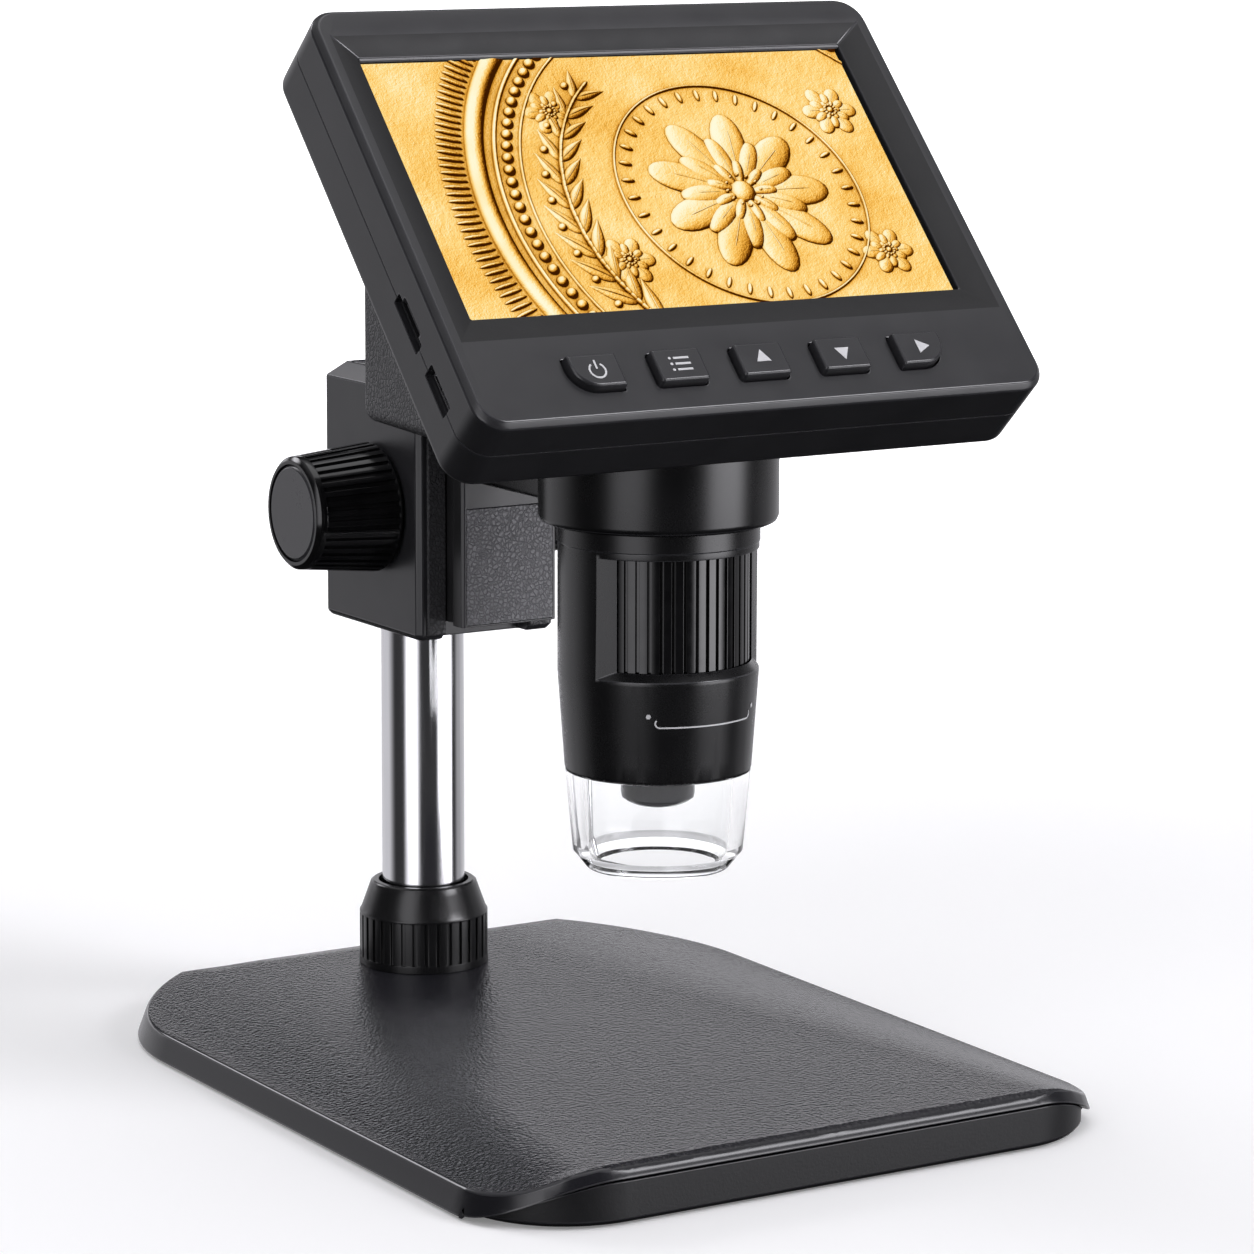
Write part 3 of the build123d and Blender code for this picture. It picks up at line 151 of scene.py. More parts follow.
# ------------------------------------------------------------------ materials
class Pattern:
    """Short ways to build a tree of shading nodes."""

    def __init__(self, tree):
        self.tree = tree

    def feed(self, socket, value):
        """Gives an input its value: another node's output, or a number or colour."""
        if isinstance(value, bpy.types.NodeSocket):
            self.tree.links.new(value, socket)
        else:
            socket.default_value = value

    def add(self, kind, settings=None, **values):
        """New node with these settings, and these values for its inputs."""
        node = self.tree.nodes.new(kind)
        for key, value in (settings or {}).items():
            setattr(node, key, value)
        for key, value in values.items():
            self.feed(node.inputs[key.replace("_", " ")], value)
        return node

    def calculate(self, operation, *terms):
        """Arithmetic on values."""
        node = self.add("ShaderNodeMath", {"operation": operation})
        for socket, term in zip(node.inputs, terms):
            self.feed(socket, term)
        return node.outputs[0]

    def vectors(self, operation, *terms):
        """Arithmetic on vectors, with a vector and a value as its outputs."""
        node = self.add("ShaderNodeVectorMath", {"operation": operation})
        for socket, term in zip(node.inputs, terms):
            self.feed(socket, term)
        return node.outputs

    def between(self, value, low, high, to_low=0.0, to_high=1.0, kind="LINEAR"):
        """Turns the range from low to high into another, and stops at its ends."""
        node = self.add(
            "ShaderNodeMapRange", {"clamp": True, "interpolation_type": kind}, Value=value,
            From_Min=low, From_Max=high, To_Min=to_low, To_Max=to_high,
        )
        return node.outputs[0]


class Finish(Pattern):
    """A principled material and short ways to add patterns to it."""

    def __init__(self, name, colour, roughness, metallic=0.0):
        self.material = bpy.data.materials.new(name)
        self.material.use_nodes = True
        super().__init__(self.material.node_tree)
        self.shader = self.tree.nodes["Principled BSDF"]
        self.shader.inputs["Base Color"].default_value = (*colour, 1.0)
        self.shader.inputs["Roughness"].default_value = roughness
        self.shader.inputs["Metallic"].default_value = metallic
        self.place = self.add("ShaderNodeTexCoord").outputs["Object"]
        self.relief = None

    def stretched(self, x, y, z):
        """Object coordinates stretched along an axis, for brushed or ribbed patterns."""
        return self.add("ShaderNodeMapping", Vector=self.place, Scale=(x, y, z)).outputs[0]

    def noise(self, size, detail=3.0, roughness=0.55, vector=None):
        """Cloudy pattern whose features are about this many millimetres across."""
        node = self.add(
            "ShaderNodeTexNoise", Vector=vector or self.place, Scale=1.0 / (size * MM),
            Detail=detail, Roughness=roughness,
        )
        return node.outputs[0]

    def cells(self, size, feature, vector=None):
        """Distances in a pattern of cells about this many millimetres across."""
        node = self.add(
            "ShaderNodeTexVoronoi", {"feature": feature},
            Vector=vector or self.place, Scale=1.0 / (size * MM),
        )
        return node.outputs["Distance"]

    def plus(self, first, second, share=1.0):
        """The first value and a share of the second."""
        return self.calculate("MULTIPLY_ADD", second, share, first)

    def blend(self, factor, first, second):
        """Colour that runs from one shade to another, each plain or a pattern."""
        node = self.add("ShaderNodeMix", {"data_type": "RGBA"})
        self.feed(node.inputs[MIX_FACTOR], factor)
        for place, shade in ((MIX_FIRST, first), (MIX_SECOND, second)):
            plain = isinstance(shade, tuple)
            self.feed(node.inputs[place], (*shade, 1.0) if plain else shade)
        return node.outputs[MIX_RESULT]

    def colour(self, pattern):
        self.feed(self.shader.inputs["Base Color"], pattern)
        return self

    def roughness(self, pattern):
        self.feed(self.shader.inputs["Roughness"], pattern)
        return self

    def bump(self, height, depth):
        """Adds relief of this many millimetres."""
        node = self.add("ShaderNodeBump", Height=height, Distance=depth * MM, Strength=1.0)
        if self.relief is not None:
            self.feed(node.inputs["Normal"], self.relief)
        self.relief = node.outputs[0]
        self.feed(self.shader.inputs["Normal"], self.relief)
        return self

    def set(self, **values):
        """Plain values on the shader's own inputs."""
        for key, value in values.items():
            self.shader.inputs[key.replace("_", " ")].default_value = value
        return self


def moulded(name, dark, light, roughness, grain=0.35, depth=0.012, uneven=0.06):
    """Satin moulding: fine spark grain, slight clouding of shade and gloss."""
    finish = Finish(name, dark, roughness)
    cloud = finish.noise(9.0, 4.0)
    finish.colour(finish.blend(finish.between(cloud, 0.3, 0.7), dark, light))
    fine = finish.noise(grain, 2.0, 0.6)
    mottle = finish.plus(cloud, fine, 0.5)
    finish.roughness(finish.between(mottle, 0.4, 1.1, roughness - uneven, roughness + uneven))
    return finish.bump(fine, depth)


def leather(name, dark, light, roughness, cell, depth):
    """Leather grain: rounded cells with creases, over a gentle unevenness."""
    finish = Finish(name, dark, roughness)
    drift = finish.noise(cell * 2.2, 2.0)
    stray = finish.add(
        "ShaderNodeTexNoise", Vector=finish.place, Scale=1.0 / (cell * 1.6 * MM), Detail=2.0,
    ).outputs["Color"]
    shifted = finish.vectors("MULTIPLY_ADD", stray, (cell * 0.9 * MM,) * 3, finish.place)["Vector"]
    creases = finish.cells(cell, "DISTANCE_TO_EDGE", shifted)
    pads = finish.between(creases, 0.0, 0.22)
    fine = finish.noise(cell * 0.35, 3.0, 0.6)
    shade = finish.between(finish.plus(pads, drift, 0.8), 0.3, 1.6)
    finish.colour(finish.blend(shade, dark, light))
    finish.roughness(finish.between(pads, 0.0, 1.0, roughness + 0.14, roughness - 0.03))
    return finish.bump(finish.plus(pads, fine, 0.5), depth)


def base_skin(name, dark, light, edge):
    """Fine leather grain on the flat top, plain satin where the surface turns down."""
    finish = Finish(name, dark, 0.4)
    normal = finish.add("ShaderNodeNewGeometry").outputs["Normal"]
    upright = finish.add("ShaderNodeSeparateXYZ", Vector=normal).outputs["Z"]
    flat = finish.between(upright, 0.80, 0.93)
    drift = finish.noise(16.0, 3.0)
    patch = finish.noise(0.55, 3.0, 0.6)
    creases = finish.cells(0.62, "SMOOTH_F1")
    pads = finish.between(creases, 0.1, 0.7, 1.0, 0.0)
    grain = finish.calculate("MULTIPLY", finish.plus(pads, patch, 1.4), flat)
    shade = finish.between(finish.plus(grain, drift, 0.7), 0.2, 2.2)
    finish.colour(finish.blend(flat, edge, finish.blend(shade, dark, light)))
    finish.roughness(finish.between(finish.plus(flat, drift, 0.3), 0.1, 1.25, 0.24, 0.23))
    return finish.bump(grain, 0.08)


def bezel_skin(name, dark, light, roughness, recess_shade):
    """Satin moulding that is darker and duller on the slopes sunk round the screen: the darker colour
    is painted shade.
    """
    finish = moulded(name, dark, light, roughness, 0.3, 0.006)
    shade = finish.shader.inputs["Base Color"].links[0].from_socket
    gloss = finish.shader.inputs["Roughness"].links[0].from_socket
    offset = finish.vectors("SUBTRACT", finish.place, Vector(SCREEN_CENTRE) * MM)["Vector"]
    right, up, out = screen_axes()
    limits = (
        (right, -RECESS_HALF, RECESS_HALF),
        (up, RECESS_BOTTOM, RECESS_TOP),
        (out, RECESS_BACK, RECESS_RIM),
    )
    shaded_recess = 1.0
    for axis, low, high in limits:
        along = finish.vectors("DOT_PRODUCT", offset, axis)["Value"]
        for side, limit in (("GREATER_THAN", low), ("LESS_THAN", high)):
            within = finish.calculate(side, along, limit * MM)
            shaded_recess = finish.calculate("MULTIPLY", within, shaded_recess)
    # The darker colour on the sunk slopes round the screen is painted shade; they are also made
    # duller.
    finish.colour(finish.blend(shaded_recess, shade, recess_shade))
    return finish.roughness(finish.calculate("MULTIPLY_ADD", shaded_recess, 0.22, gloss))


def machined(name, dark, light, roughness, stretch=(1, 1, 12)):
    """Metal with fine tool marks along one direction."""
    finish = Finish(name, dark, roughness, 1.0)
    marks = finish.noise(2.0, 4.0, 0.7, finish.stretched(*stretch))
    finish.colour(finish.blend(finish.between(marks, 0.3, 0.7), dark, light))
    finish.roughness(finish.between(marks, 0.2, 0.8, roughness - 0.05, roughness + 0.07))
    return finish.bump(marks, 0.003)


def polished(name, colour, roughness):
    """Polished bar: mirror finish with faint length-wise haze."""
    finish = Finish(name, colour, roughness, 1.0)
    haze = finish.noise(6.0, 3.0, 0.6, finish.stretched(3.0, 3.0, 0.15))
    finish.roughness(finish.between(haze, 0.25, 0.75, roughness * 0.6, roughness * 1.8))
    hazy = tuple(channel * 0.9 for channel in colour)
    return finish.colour(finish.blend(finish.between(haze, 0.3, 0.7), colour, hazy))


def glossy(name, dark, light, roughness):
    """Moulded gloss with faint swirl marks."""
    finish = Finish(name, dark, roughness)
    swirl = finish.noise(3.5, 4.0, 0.65)
    finish.colour(finish.blend(finish.between(swirl, 0.35, 0.7), dark, light))
    finish.roughness(finish.between(swirl, 0.3, 0.75, roughness * 0.75, roughness * 1.4))
    return finish.bump(swirl, 0.004)


def clear(name, tint, roughness, index):
    """Clear acrylic or optical glass with the faintest unevenness."""
    finish = Finish(name, tint, roughness)
    finish.set(IOR=index, Transmission_Weight=1.0)
    wave = finish.noise(4.0, 2.0)
    dimmer = tuple(channel * 0.985 for channel in tint)
    finish.colour(finish.blend(wave, tint, dimmer))
    return finish.bump(wave, 0.002)


def circuit(name, mask, track):
    """Solder mask with tracks showing through it."""
    finish = Finish(name, mask, 0.35)
    grid = finish.add(
        "ShaderNodeTexBrick", {"offset": 0.5}, Vector=finish.place, Scale=1.0 / (4.0 * MM),
        Mortar_Size=0.06, Color1=(0, 0, 0, 1), Color2=(0, 0, 0, 1), Mortar=(1, 1, 1, 1),
    ).outputs["Color"]
    finish.colour(finish.blend(grid, mask, track))
    return finish.bump(grid, 0.02)


def gold_ramp(finish, light):
    """Colours of lit gold, from its deepest shadow to its highlights."""
    ramp = finish.add("ShaderNodeValToRGB")
    stops = ramp.color_ramp.elements
    stops[0].position, stops[0].color = 0.06, (0.045, 0.010, 0.0, 1)
    stops[1].position, stops[1].color = 1.0, (1.0, 0.96, 0.70, 1)
    for position, shade in (
        (0.26, (0.26, 0.075, 0.003, 1)),
        (0.46, (0.70, 0.30, 0.022, 1)),
        (0.62, (1.0, 0.52, 0.08, 1)),
        (0.79, (1.0, 0.74, 0.25, 1)),
    ):
        stops.new(position).color = shade
    finish.feed(ramp.inputs[0], light)
    return ramp.outputs[0]


def lit_gold(name):
    """Gold as the display shows it: its light and shade are part of the picture."""
    finish = Finish(name, (0.0, 0.0, 0.0), 1.0)
    finish.set(Specular_IOR_Level=0.0, Emission_Strength=1.0)
    skin = finish.plus(finish.noise(1.6, 5.0, 0.65), finish.noise(0.35, 2.0, 0.6), 0.45)
    relief = finish.add("ShaderNodeBump", Height=skin, Distance=0.10 * MM, Strength=1.0)
    lamp = Vector((-0.60, -0.34, 0.74)).normalized()
    facing = finish.vectors("DOT_PRODUCT", relief.outputs[0], lamp)["Value"]
    hollow = finish.add(
        "ShaderNodeAmbientOcclusion", {"samples": 8, "only_local": True}, Distance=1.6 * MM,
    ).outputs["AO"]
    open_sky = finish.between(hollow, 0.42, 0.98, 0.05, 1.0)
    light = finish.calculate("MULTIPLY", finish.between(facing, 0.42, 0.86), open_sky)
    patina = finish.between(finish.noise(14.0, 3.0, 0.5), 0.3, 0.7, -1.0, 1.0)
    shade = gold_ramp(finish, finish.plus(light, patina, 0.10))
    finish.feed(finish.shader.inputs["Emission Color"], shade)
    return finish


def screen_axes():
    """The screen's own directions: right, up and out of its face."""
    tilt = radians(SCREEN_TILT)
    return Vector((1, 0, 0)), Vector((0, sin(tilt), cos(tilt))), Vector((0, -cos(tilt), sin(tilt)))


base_leather = base_skin(
    "base_leather", (0.010, 0.010, 0.0128), (0.021, 0.021, 0.0255), (0.010, 0.010, 0.0125),
)
tray_satin = moulded("tray_satin", (0.009, 0.009, 0.010), (0.014, 0.014, 0.015), 0.42, 0.5, 0.02)
tray_satin.set(Specular_IOR_Level=0.28)
# Bezel satin with painted shade: darker on the sunk slopes round the screen.
bezel_satin_and_recess_shade = bezel_skin(
    "bezel_satin_and_recess_shade", (0.016, 0.016, 0.018), (0.022, 0.022, 0.024), 0.36, (0.003, 0.003, 0.0035),
)
shell_satin = moulded("shell_satin", (0.016, 0.016, 0.018), (0.022, 0.022, 0.024), 0.36, 0.3, 0.006)
key_satin = moulded("key_satin", (0.017, 0.017, 0.019), (0.023, 0.023, 0.025), 0.37, 0.25, 0.006)
block_paint = moulded("block_paint", (0.018, 0.018, 0.020), (0.024, 0.024, 0.027), 0.36, 0.25, 0.005)
knob_disc = moulded("knob_disc", (0.040, 0.040, 0.043), (0.050, 0.050, 0.053), 0.30, 0.2, 0.004)
# Glossier, lighter finish for rounded edges: its lighter colour is a painted highlight.
glossy_edge_highlight = moulded("glossy_edge_highlight", (0.030, 0.030, 0.033), (0.040, 0.040, 0.043), 0.13, 0.6, 0.002)
slide_anodised = moulded(
    "slide_anodised", (0.014, 0.014, 0.015), (0.020, 0.020, 0.021), 0.34, 0.25, 0.006,
)
body_anodised = moulded(
    "body_anodised", (0.004, 0.004, 0.0045), (0.007, 0.007, 0.0075), 0.27, 0.5, 0.0004, 0.015,
)
nut_anodised = moulded(
    "nut_anodised", (0.005, 0.005, 0.0055), (0.009, 0.009, 0.0095), 0.25, 0.5, 0.0006, 0.015,
)

housing_leather = leather(
    "housing_leather", (0.026, 0.026, 0.028), (0.050, 0.050, 0.053), 0.45, 0.9, 0.09,
)
slide_leather = leather("slide_leather", (0.110, 0.110, 0.116), (0.210, 0.210, 0.220), 0.42, 0.8, 0.08)
facing_leather = leather(
    "facing_leather", (0.030, 0.030, 0.032), (0.060, 0.060, 0.063), 0.45, 0.8, 0.08,
)

knob_gloss = glossy("knob_gloss", (0.004, 0.004, 0.0045), (0.008, 0.008, 0.0085), 0.13)
wheel_gloss = glossy("wheel_gloss", (0.003, 0.003, 0.0035), (0.006, 0.006, 0.0065), 0.13)
lens_coated = glossy("lens_coated", (0.006, 0.006, 0.009), (0.012, 0.010, 0.018), 0.05)
lens_glass = clear("lens_glass", (0.90, 0.95, 1.0), 0.0, 1.52)
shroud_acrylic = clear("shroud_acrylic", (0.985, 0.99, 0.99), 0.02, 1.49)

post_steel = polished("post_steel", (0.82, 0.82, 0.84), 0.12)
plate_steel = machined("plate_steel", (0.38, 0.38, 0.39), (0.52, 0.52, 0.53), 0.35, (1, 10, 1))
gear_steel = machined("gear_steel", (0.45, 0.45, 0.47), (0.60, 0.60, 0.62), 0.28, (10, 1, 1))
port_steel = machined("port_steel", (0.60, 0.60, 0.61), (0.76, 0.76, 0.77), 0.22, (1, 8, 1))
screw_zinc = machined("screw_zinc", (0.10, 0.10, 0.11), (0.18, 0.18, 0.19), 0.35)
bush_brass = machined("bush_brass", (0.62, 0.42, 0.14), (0.78, 0.58, 0.24), 0.25)

foot_rubber = moulded("foot_rubber", (0.012, 0.012, 0.012), (0.022, 0.022, 0.022), 0.75, 0.5, 0.02)
collet_nylon = moulded("collet_nylon", (0.62, 0.61, 0.57), (0.70, 0.69, 0.65), 0.4)
socket_black = moulded("socket_black", (0.008, 0.008, 0.009), (0.014, 0.014, 0.015), 0.45)
panel_black = moulded("panel_black", (0.003, 0.003, 0.003), (0.006, 0.006, 0.006), 0.5)
lamp_phosphor = moulded("lamp_phosphor", (0.80, 0.62, 0.12), (0.92, 0.80, 0.32), 0.3)
cell_film = moulded("cell_film", (0.05, 0.09, 0.22), (0.08, 0.13, 0.30), 0.3)
board_green = circuit("board_green", (0.01, 0.09, 0.04), (0.03, 0.20, 0.08))
lamp_board = circuit("lamp_board", (0.75, 0.75, 0.72), (0.60, 0.60, 0.50))

screen_gold = lit_gold("screen_gold")
icon_white = moulded("icon_white", (0.55, 0.55, 0.56), (0.62, 0.62, 0.63), 0.5, 0.2, 0.002)
mark_white = moulded("mark_white", (0.62, 0.62, 0.63), (0.70, 0.70, 0.71), 0.45, 0.2, 0.002)
# Light grey of the bar along the top of the display: a painted highlight.
highlight_grey = moulded("highlight_grey", (0.16, 0.16, 0.165), (0.20, 0.20, 0.205), 0.3, 0.3, 0.004)

key_nodes = [f"button_{key}" for key in KEYS]
node_finish = {
    "base_cover": base_leather, "base_tray": tray_satin, "ballast_plate": plate_steel,
    "rubber_feet": foot_rubber, "base_screws": screw_zinc, "post": post_steel,
    "post_screw": screw_zinc, "post_collet": collet_nylon, "clamp_nut": nut_anodised,
    "focus_block": block_paint, "block_cap": block_paint, "cap_screws": screw_zinc,
    "cheek_plates": facing_leather, "block_grub": screw_zinc, "shaft_bushes": bush_brass,
    "pinion_shaft": gear_steel, "knob_left": knob_gloss, "knob_right": knob_gloss,
    "knob_cap_left": knob_disc, "knob_cap_right": knob_disc, "focus_slide": slide_anodised,
    "slide_face_plate": slide_leather, "focus_rack": gear_steel, "head_arm": body_anodised,
    "arm_screws": screw_zinc, "body_collar": body_anodised, "ring_screws": screw_zinc,
    "body_sleeve": body_anodised, "focus_wheel": wheel_gloss, "lens_barrel": wheel_gloss,
    "objective_lens": lens_glass, "led_board": lamp_board, "led_lamps": lamp_phosphor,
    "clear_shroud": shroud_acrylic, "sensor_board": board_green, "front_bezel": bezel_satin_and_recess_shade,
    "back_cover": shell_satin, "case_screws": screw_zinc, "lcd_panel": panel_black,
    "main_board": board_green, "board_screws": screw_zinc, "key_board": board_green,
    "key_switches": port_steel, "usb_port": port_steel, "card_socket": socket_black,
    "rear_housing": housing_leather, "housing_screws": screw_zinc, "battery": cell_film,
    "screen_glass": screen_gold, **dict.fromkeys(key_nodes, key_satin),
}

# Pieces whose rounded edges get a glossier, lighter finish: the lighter colour is a painted highlight
# along the edges.
highlight_edge_nodes = {
    "base_cover", "base_tray", "front_bezel", "back_cover", "focus_block", "block_cap",
    "focus_slide", "body_sleeve", "body_collar", "head_arm", "knob_cap_left", "knob_cap_right",
    *key_nodes,
}

# Rounding of the edges in millimetres, where a piece doesn't have the usual one.
edge_radius = {
    "base_cover": 0.45, "focus_block": 0.3, "clear_shroud": 0.0, "objective_lens": 0.0,
    "pinion_shaft": 0.0, "focus_rack": 0.0, "focus_wheel": 0.08, "knob_left": 0.1,
    "knob_right": 0.1, "clamp_nut": 0.1, "front_bezel": 0.25, "back_cover": 0.2,
}


# ------------------------------------------------------- edges of the CAD nodes
def smooth_shading():
    """Node group: soft shading, with hard edges only where faces meet sharply."""
    group = bpy.data.node_groups.new("smooth_shading", "GeometryNodeTree")
    group.interface.new_socket("Geometry", in_out="INPUT", socket_type="NodeSocketGeometry")
    group.interface.new_socket("Geometry", in_out="OUTPUT", socket_type="NodeSocketGeometry")
    start = group.nodes.new("NodeGroupInput")
    end = group.nodes.new("NodeGroupOutput")
    faces = group.nodes.new("GeometryNodeSetShadeSmooth")
    edges = group.nodes.new("GeometryNodeSetShadeSmooth")
    edges.domain = "EDGE"
    edges.inputs["Shade Smooth"].default_value = False
    angle = group.nodes.new("GeometryNodeInputMeshEdgeAngle")
    sharp = group.nodes.new("FunctionNodeCompare")
    sharp.data_type = "FLOAT"
    sharp.operation = "GREATER_THAN"
    sharp.inputs["B"].default_value = radians(SHARP_ANGLE)
    group.links.new(start.outputs[0], faces.inputs["Geometry"])
    group.links.new(faces.outputs[0], edges.inputs["Geometry"])
    group.links.new(angle.outputs["Unsigned Angle"], sharp.inputs["A"])
    group.links.new(sharp.outputs["Result"], edges.inputs["Selection"])
    group.links.new(edges.outputs[0], end.inputs[0])
    return group


soft_group = smooth_shading()


def round_edges(obj, radius, edge_material=-1):
    """Joins the piece's loose triangles, rounds its edges and shades it smooth."""
    weld = obj.modifiers.new("join", "WELD")
    weld.merge_threshold = JOIN_GAP * MM
    if radius > 0:
        flats = obj.modifiers.new("flats", "DECIMATE")
        flats.decimate_type = "DISSOLVE"
        flats.angle_limit = radians(FLAT_ANGLE)
        bevel = obj.modifiers.new("round", "BEVEL")
        bevel.material = edge_material
        bevel.width = radius * MM
        bevel.segments = 2
        bevel.limit_method = "ANGLE"
        bevel.angle_limit = radians(ROUND_ANGLE)
        bevel.use_clamp_overlap = False
        bevel.miter_outer = "MITER_ARC"
    smooth = obj.modifiers.new("smooth", "NODES")
    smooth.node_group = soft_group
    level = obj.modifiers.new("level", "WEIGHTED_NORMAL")
    level.keep_sharp = True
    level.weight = FLAT_WEIGHT


def finish_nodes():
    """Gives each CAD node its finish and its rounded edges."""
    for name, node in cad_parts.items():
        edge_highlighted = name in highlight_edge_nodes
        node.data.materials.clear()
        node.data.materials.append(node_finish[name].material)
        # A second finish for the rounded edges, whose lighter colour is a painted highlight.
        if edge_highlighted:
            node.data.materials.append(glossy_edge_highlight.material)
        round_edges(node, edge_radius.get(name, USUAL_EDGE), 1 if edge_highlighted else -1)


# -------------------------------------------------------------------- helpers
def place_on_screen():
    """Matrix from the screen's own plane (right, up and out, in mm) to the shared frame."""
    turn = Matrix(screen_axes()).transposed().to_4x4()
    return Matrix.Scale(MM, 4) @ Matrix.Translation(Vector(SCREEN_CENTRE)) @ turn


SCREEN_PLACE = place_on_screen()
FRAME_PLACE = Matrix.Scale(MM, 4)


def make_piece(name, bm, body, finish, place=FRAME_PLACE, smooth=True):
    """Turns a bmesh in millimetres into a finished piece that rides on a body."""
    bmesh.ops.transform(bm, matrix=place, verts=bm.verts)
    mesh = bpy.data.meshes.new(name)
    bm.to_mesh(mesh)
    bm.free()
    for face in mesh.polygons:
        face.use_smooth = smooth
    piece = bpy.data.objects.new(name, mesh)
    bpy.context.scene.collection.objects.link(piece)
    piece.data.materials.append(finish.material)
    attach(piece, body)
    return piece


def slab(bm, corners, low, high):
    """Flat prism over corner points, between two heights."""
    base = [bm.verts.new((x, y, low)) for x, y in corners]
    face = bm.faces.new(base)
    grown = bmesh.ops.extrude_face_region(bm, geom=[face])
    top = [item for item in grown["geom"] if isinstance(item, bmesh.types.BMVert)]
    bmesh.ops.translate(bm, verts=top, vec=(0, 0, high - low))
    bmesh.ops.recalc_face_normals(bm, faces=bm.faces)


def bar(bm, left, right, bottom, top, low, high):
    """Flat rectangular prism."""
    slab(bm, [(left, bottom), (right, bottom), (right, top), (left, top)], low, high)


def places_round(centre, radius, count, start=0.0, arc=360.0):
    """Even places round a circle or an arc: bearing in degrees, x and y."""
    for index in range(count):
        bearing = start + arc * index / count
        turn = radians(bearing)
        yield bearing, centre[0] + radius * cos(turn), centre[1] + radius * sin(turn)


def turned(outline, steps, closed):
    """Piece turned about the body's axis from an outline of radius and height."""
    bm = bmesh.new()
    verts = [bm.verts.new((radius, 0, height)) for radius, height in outline]
    following = verts[1:] + verts[:1] if closed else verts[1:]
    edges = [bm.edges.new(pair) for pair in zip(verts, following)]
    bmesh.ops.spin(
        bm, geom=[*verts, *edges], cent=(0, 0, 0), axis=(0, 0, 1), angle=2 * pi, steps=steps,
        use_merge=True,
    )
    bmesh.ops.remove_doubles(bm, verts=bm.verts, dist=MERGE_GAP)
    bmesh.ops.recalc_face_normals(bm, faces=bm.faces)
    bmesh.ops.translate(bm, verts=bm.verts, vec=(0, BODY_Y, 0))
    return bm


# --------------------------------------------------- medal shown on the display
mound_shapes = {}             # unit shapes made so far, by their tip and fineness


def mound_shape(tip, fine):
    """Unit ellipsoid along x; tip draws its far end to a point."""
    if (tip, fine) not in mound_shapes:
        shape = bmesh.new()
        ball = bmesh.ops.create_uvsphere(shape, u_segments=fine * 2, v_segments=fine, radius=1.0)
        verts = ball["verts"]
        bmesh.ops.rotate(shape, verts=verts, cent=(0, 0, 0), matrix=Matrix.Rotation(pi / 2, 3, "Y"))
        for vert in verts:
            along = (vert.co.x + 1) / 2
            vert.co.y *= 1 - tip * along ** 2
            vert.co.z *= 1 - tip * 0.5 * along
        mesh = bpy.data.meshes.new("mound_shape")
        shape.to_mesh(mesh)
        shape.free()
        mound_shapes[tip, fine] = mesh
    return mound_shapes[tip, fine]


def mound(bm, x, y, length, width, height, turn=0.0, tip=0.0, base=PICTURE_GROUND, fine=12):
    """Flattened ellipsoid laid on the ground of the picture."""
    mesh = mound_shape(tip, fine).copy()
    place = Matrix.Translation((x, y, base)) @ Matrix.Rotation(radians(turn), 4, "Z")
    mesh.transform(place @ Matrix.Diagonal((length / 2, width / 2, height, 1)))
    bm.from_mesh(mesh)
    bpy.data.meshes.remove(mesh)


def raised_ring(bm, centre, radius, width, height, steps=160):
    """Rounded rim: a low arch spun all the way round."""
    x, y = centre
    spans = 6
    arch = []
    for index in range(spans + 1):
        turn = pi * index / spans
        side = x + radius - cos(turn) * width / 2
        arch.append(bm.verts.new((side, y, PICTURE_GROUND + sin(turn) * height)))
    edges = [bm.edges.new(pair) for pair in zip(arch, arch[1:])]
    bmesh.ops.spin(
        bm, geom=[*arch, *edges], cent=(x, y, 0), axis=(0, 0, 1), angle=2 * pi, steps=steps,
        use_merge=True,
    )


def in_window(x, y, margin):
    """Whether a place is on the display or within a margin of it."""
    return abs(x) < SCREEN_WIDTH / 2 + margin and abs(y) < SCREEN_HEIGHT / 2 + margin


def medal_rim(bm):
    """Raised rim of the medal with its row of beads."""
    raised_ring(bm, MEDAL_CENTRE, MEDAL_RADIUS, 3.6, 1.15)
    raised_ring(bm, MEDAL_CENTRE, MEDAL_RADIUS - 3.6, 0.9, 0.55)
    for _, x, y in places_round(MEDAL_CENTRE, MEDAL_RADIUS - 5.9, MEDAL_BEADS):
        if in_window(x, y, 2):
            mound(bm, x, y, 2.2, 2.2, 0.9, fine=8)
    raised_ring(bm, MEDAL_CENTRE, MEDAL_RADIUS - 8.2, 0.7, 0.45)


def leaf(bm, x, y, length, width, turn):
    """Pointed leaf with a raised midrib."""
    lean = radians(turn)
    middle_x, middle_y = x + cos(lean) * length / 2, y + sin(lean) * length / 2
    mound(bm, middle_x, middle_y, length, width, 0.62, turn, 0.85)
    mound(bm, middle_x, middle_y, length * 0.9, width * 0.14, 0.86, turn, 0.8, fine=6)


def laurel(bm, radius, start, end, pairs):
    """Branch that curves clockwise with the rim: pairs of leaves, and small berries."""
    arc = end - start
    branch = places_round(MEDAL_CENTRE, radius, pairs, start, arc)
    for index, (bearing, x, y) in enumerate(branch):
        along = bearing - 90
        size = 1.0 - 0.35 * index / pairs
        for splay in (34, -34):
            leaf(bm, x, y, 9.6 * size, 3.5 * size, along + splay)
        berry, stalk = radians(along + 62), 4.2 * size
        mound(bm, x + stalk * cos(berry), y + stalk * sin(berry), 1.7, 1.7, 0.75, fine=6)
    for bearing, x, y in places_round(MEDAL_CENTRE, radius, pairs * 4, start, arc):
        mound(bm, x, y, 2.8, 0.85, 0.8, bearing + 90, fine=5)


